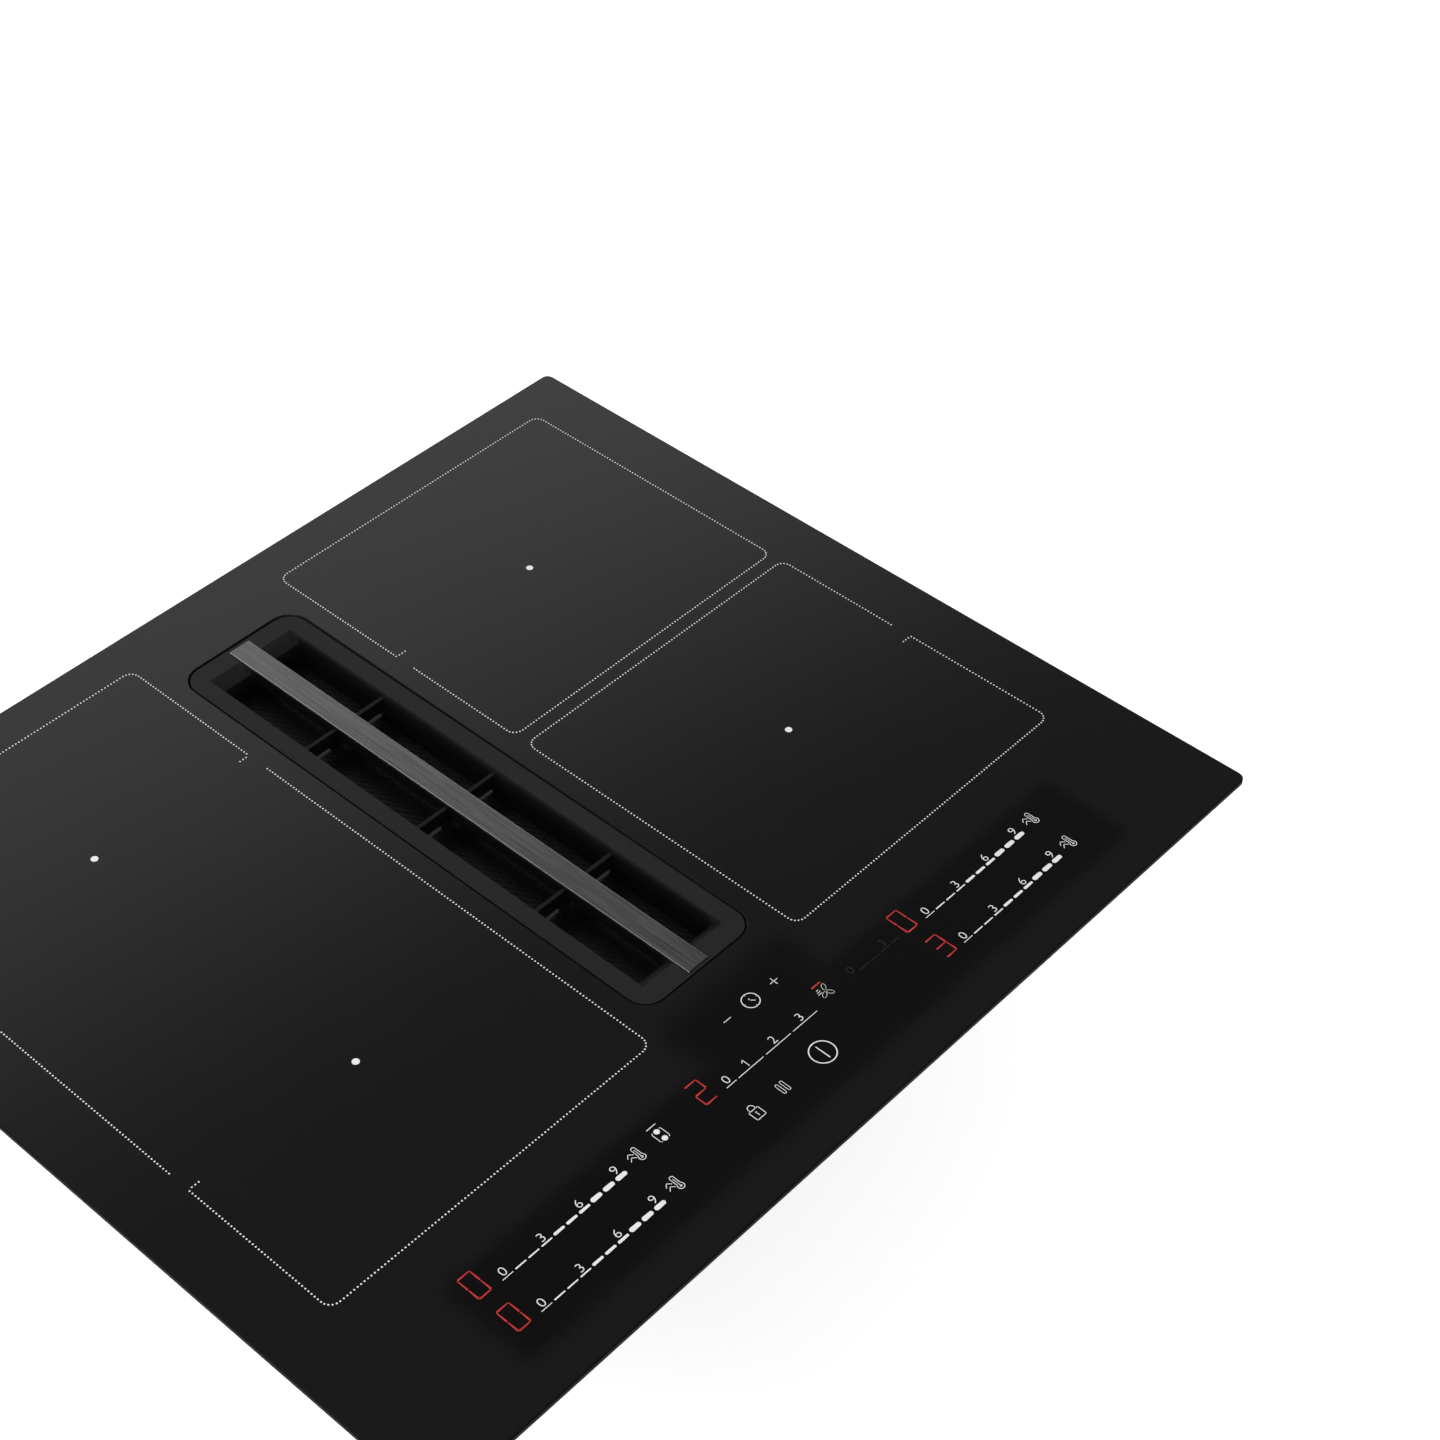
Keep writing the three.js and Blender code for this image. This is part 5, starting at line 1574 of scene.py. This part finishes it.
relief = bmesh.new()
slot_frame = rounded_plate(relief, *grip_frame_size, grip_frame_corner)
bmesh.ops.inset_region(relief, faces=slot_frame, thickness=grip_frame_width, use_boundary=True)
bmesh.ops.delete(relief, geom=slot_frame, context="FACES")
pull(relief, list(relief.faces), grip_frame_height)
stand(relief, relief.verts, (0, relief_y, grip_level), (0, -1, 0))
for level in grip_rib_levels:
    earlier = set(relief.verts)
    rib = rounded_plate(relief, *grip_rib_size, grip_rib_corner)
    crest = pull(relief, rib, grip_rib_height)
    bmesh.ops.scale(relief, verts=crest[0].verts, vec=grip_rib_crest)
    stand(relief, drawn_since(relief, earlier), (0, relief_y, level), (0, -1, 0))
finish_fitting(
    relief, "container_relief", container_polypropylene, "overflow_container"
)

# %% [markdown]
# ### Sheet steel
#
# Long flat walls of thin sheet drum, so beads are pressed into them. The tray hangs on the
# carrier by self-tapping screws through its walls. A bead is a length and a place along its
# wall.

# %% Beads and screws of the tray
bead_width = 6
bead_corner = 2.9
bead_height = 0.9
bead_level = 183
side_beads = ((110, 0), (56, -168), (56, 168))
front_bead = (150, 130)
screw_level = 190
side_screws = (-205, -45, 45, 205)
end_screws = (30, 225)


def add_bead(bm, length, place, outwards):
    """A raised bead, narrower at its crest."""
    end_slope, crest_narrowing = 3, 0.45
    earlier = set(bm.verts)
    crest = pull(bm, rounded_plate(bm, length, bead_width, bead_corner), bead_height)
    shorter = (1 - end_slope / length, crest_narrowing, 1)
    bmesh.ops.scale(bm, verts=crest[0].verts, vec=shorter)
    stand(bm, drawn_since(bm, earlier), place, outwards)


tray_low, tray_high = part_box("electronics_tray")
side_x, front_y = tray_high.x / MM, tray_low.y / MM
beads = bmesh.new()
tray_screws = bmesh.new()
for side in (-1, 1):
    for length, y in side_beads:
        add_bead(beads, length, (side * side_x, y, bead_level), (side, 0, 0))
    for y in side_screws:
        add_screw(tray_screws, (side * side_x, y, screw_level), (side, 0, 0))
    length, x = front_bead
    add_bead(beads, length, (side * x, front_y, bead_level), (0, -1, 0))
    for x in end_screws:
        add_screw(tray_screws, (side * x, front_y, screw_level), (0, -1, 0))
        add_screw(tray_screws, (side * x, -front_y, screw_level), (0, 1, 0))
finish_fitting(beads, "tray_beads", galvanised_steel, "electronics_tray")
finish_fitting(tray_screws, "tray_screws", clamp_steel, "electronics_tray")

# %% [markdown]
# ### Mains box
#
# The gland's cap is fluted so that wet fingers can turn it, and a hexagonal nut holds the
# gland in the box's wall. Both are drawn upright round the origin and then laid over
# together. Two screws close the lid from below.

# %% Gland nut and flutes
nut_wall = 2.6
nut_height = 4
nut_start = 0.6
flute_count = 18
flute_size = (1.5, 11)
flute_corner = 0.6
flute_height = 1.0
flute_sunk = 0.3
flute_level = 12.5

gland_low, gland_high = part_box("cable_gland")
gland_radius = (gland_high.x - gland_low.x) / 2 / MM
gland_middle = middle_of("cable_gland")
gland = bmesh.new()
nut_face = disc(gland, 6, gland_radius + nut_wall)
bmesh.ops.inset_region(gland, faces=nut_face, thickness=nut_wall, use_boundary=True)
bmesh.ops.delete(gland, geom=nut_face, context="FACES")
pull(gland, list(gland.faces), nut_height)
upright = Matrix.Rotation(math.pi / 2, 3, "X")
for index in range(flute_count):
    earlier = set(gland.verts)
    pull(gland, rounded_plate(gland, *flute_size, flute_corner), flute_height)
    flute = drawn_since(gland, earlier)
    bmesh.ops.rotate(gland, verts=flute, cent=(0, 0, 0), matrix=upright)
    bmesh.ops.translate(gland, verts=flute, vec=(0, flute_sunk - gland_radius, flute_level))
    around = Matrix.Rotation(index / flute_count * 2 * math.pi, 3, "Z")
    bmesh.ops.rotate(gland, verts=flute, cent=(0, 0, 0), matrix=around)
gland_place = (gland_middle.x, gland_low.y / MM + nut_start, gland_middle.z)
stand(gland, gland.verts, gland_place, (0, 1, 0))
finish_fitting(
    gland, "gland_nut_and_flutes", terminal_polycarbonate, "cable_gland"
)

# %% Screws of the lid
lid_screw_inset = 7

lid_low, lid_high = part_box("terminal_cover")
lid_middle = middle_of("terminal_cover")
lid_screws = bmesh.new()
for x in (lid_low.x / MM + lid_screw_inset, lid_high.x / MM - lid_screw_inset):
    add_screw(lid_screws, (x, lid_middle.y, lid_low.z / MM), (0, 0, -1))
finish_fitting(
    lid_screws, "terminal_lid_screws", clamp_steel, "terminal_cover"
)

# %% [markdown]
# ### Ledges in the grille
#
# Below each cross rib of the grille the photograph shows a short pale stub on both sides of
# the bar, where light falls on the rib's foot. It falls in line with the rib when it lies at
# the depth of the rib's foot, so a ledge is set there, coloured far lighter than the grille as
# painted light. A ledge is a thin block, bevelled all round, that clasps the front of the foot.

# %% Ledges on the feet of the ribs
rib_pitch = 86
rib_foot_depth = 11.1
ledge_size = (10.5, 1.6, 2)
ledge_x = 18.7
ledge_forward = 2
ledge_overlap = 0.3
ledge_rounding = 0.35
# The ledges' light grey is painted light, where light falls on the ribs' feet.
lit_ledge_polyamide = make_plastic("lit_ledge_polyamide", "#4a4a4c", "#565658", 0.6, 0.03, 0.5)

ledges = bmesh.new()
ledge_z = grille_top / MM - rib_foot_depth + ledge_overlap - ledge_size[2] / 2
for rib in (-1, 0, 1):
    ledge_y = grille_middle.y + rib * rib_pitch - ledge_forward
    for side in (-1, 1):
        made = bmesh.ops.create_cube(ledges, size=1)
        bmesh.ops.scale(ledges, verts=made["verts"], vec=ledge_size)
        ledge_place = (side * ledge_x, ledge_y, ledge_z)
        bmesh.ops.translate(ledges, verts=made["verts"], vec=ledge_place)
bmesh.ops.bevel(
    ledges,
    geom=list(ledges.edges),
    offset=ledge_rounding,
    segments=2,
    profile=0.5,
    affect="EDGES",
    material=-1,
)
finish_fitting(ledges, "grille_rib_ledges", lit_ledge_polyamide, "grille_frame")

# %% [markdown]
# ### Grease filter
#
# The filter's packs are layers of expanded metal. The top layer is drawn strand by strand:
# a lattice of diamonds, each inset and emptied, then given its thickness. It lies on the
# solid pack, whose dark colour stands for the layers below and is painted shade in the slots.

# %% Expanded metal on the filter
cell_size = (3.4, 6.8)
strand_width = 0.42
strand_thickness = 0.5
layer_sunk = 0.1


def expanded_metal(low, high, cell_x, cell_y, strand, thickness):
    """Diamond mesh that fills a rectangle, given by two corners in millimetres."""
    bm = bmesh.new()
    columns = int((high.x - low.x) / cell_x)
    rows_of_cells = int((high.y - low.y) / cell_y)
    start_x = (low.x + high.x - columns * cell_x) / 2
    start_y = (low.y + high.y - rows_of_cells * cell_y) / 2
    around = [(-cell_x / 2, 0), (0, -cell_y / 2), (cell_x / 2, 0), (0, cell_y / 2)]
    for row in range(2 * rows_of_cells - 1):
        shift = (row % 2) / 2
        for column in range(columns - row % 2):
            x = start_x + (column + 0.5 + shift) * cell_x
            y = start_y + (row / 2 + 0.5) * cell_y
            bm.faces.new([bm.verts.new((x + dx, y + dy, low.z)) for dx, dy in around])
    # An inset goes by the faces' normals, which new faces don't have yet.
    bm.normal_update()
    cells = list(bm.faces)
    bmesh.ops.inset_individual(bm, faces=cells, thickness=strand)
    bmesh.ops.delete(bm, geom=cells, context="FACES")
    bmesh.ops.remove_doubles(bm, verts=bm.verts, dist=0.01)
    pull(bm, list(bm.faces), thickness)
    return bm


for side in sides:
    pack_low, pack_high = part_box(f"filter_mesh_{side}")
    low = Vector((pack_low.x, pack_low.y, pack_high.z)) / MM - Vector((0, 0, layer_sunk))
    layer = expanded_metal(low, pack_high / MM, *cell_size, strand_width, strand_thickness)
    pack = f"filter_mesh_{side}"
    finish_fitting(layer, f"filter_layer_{side}", slot_shade_mesh, pack)
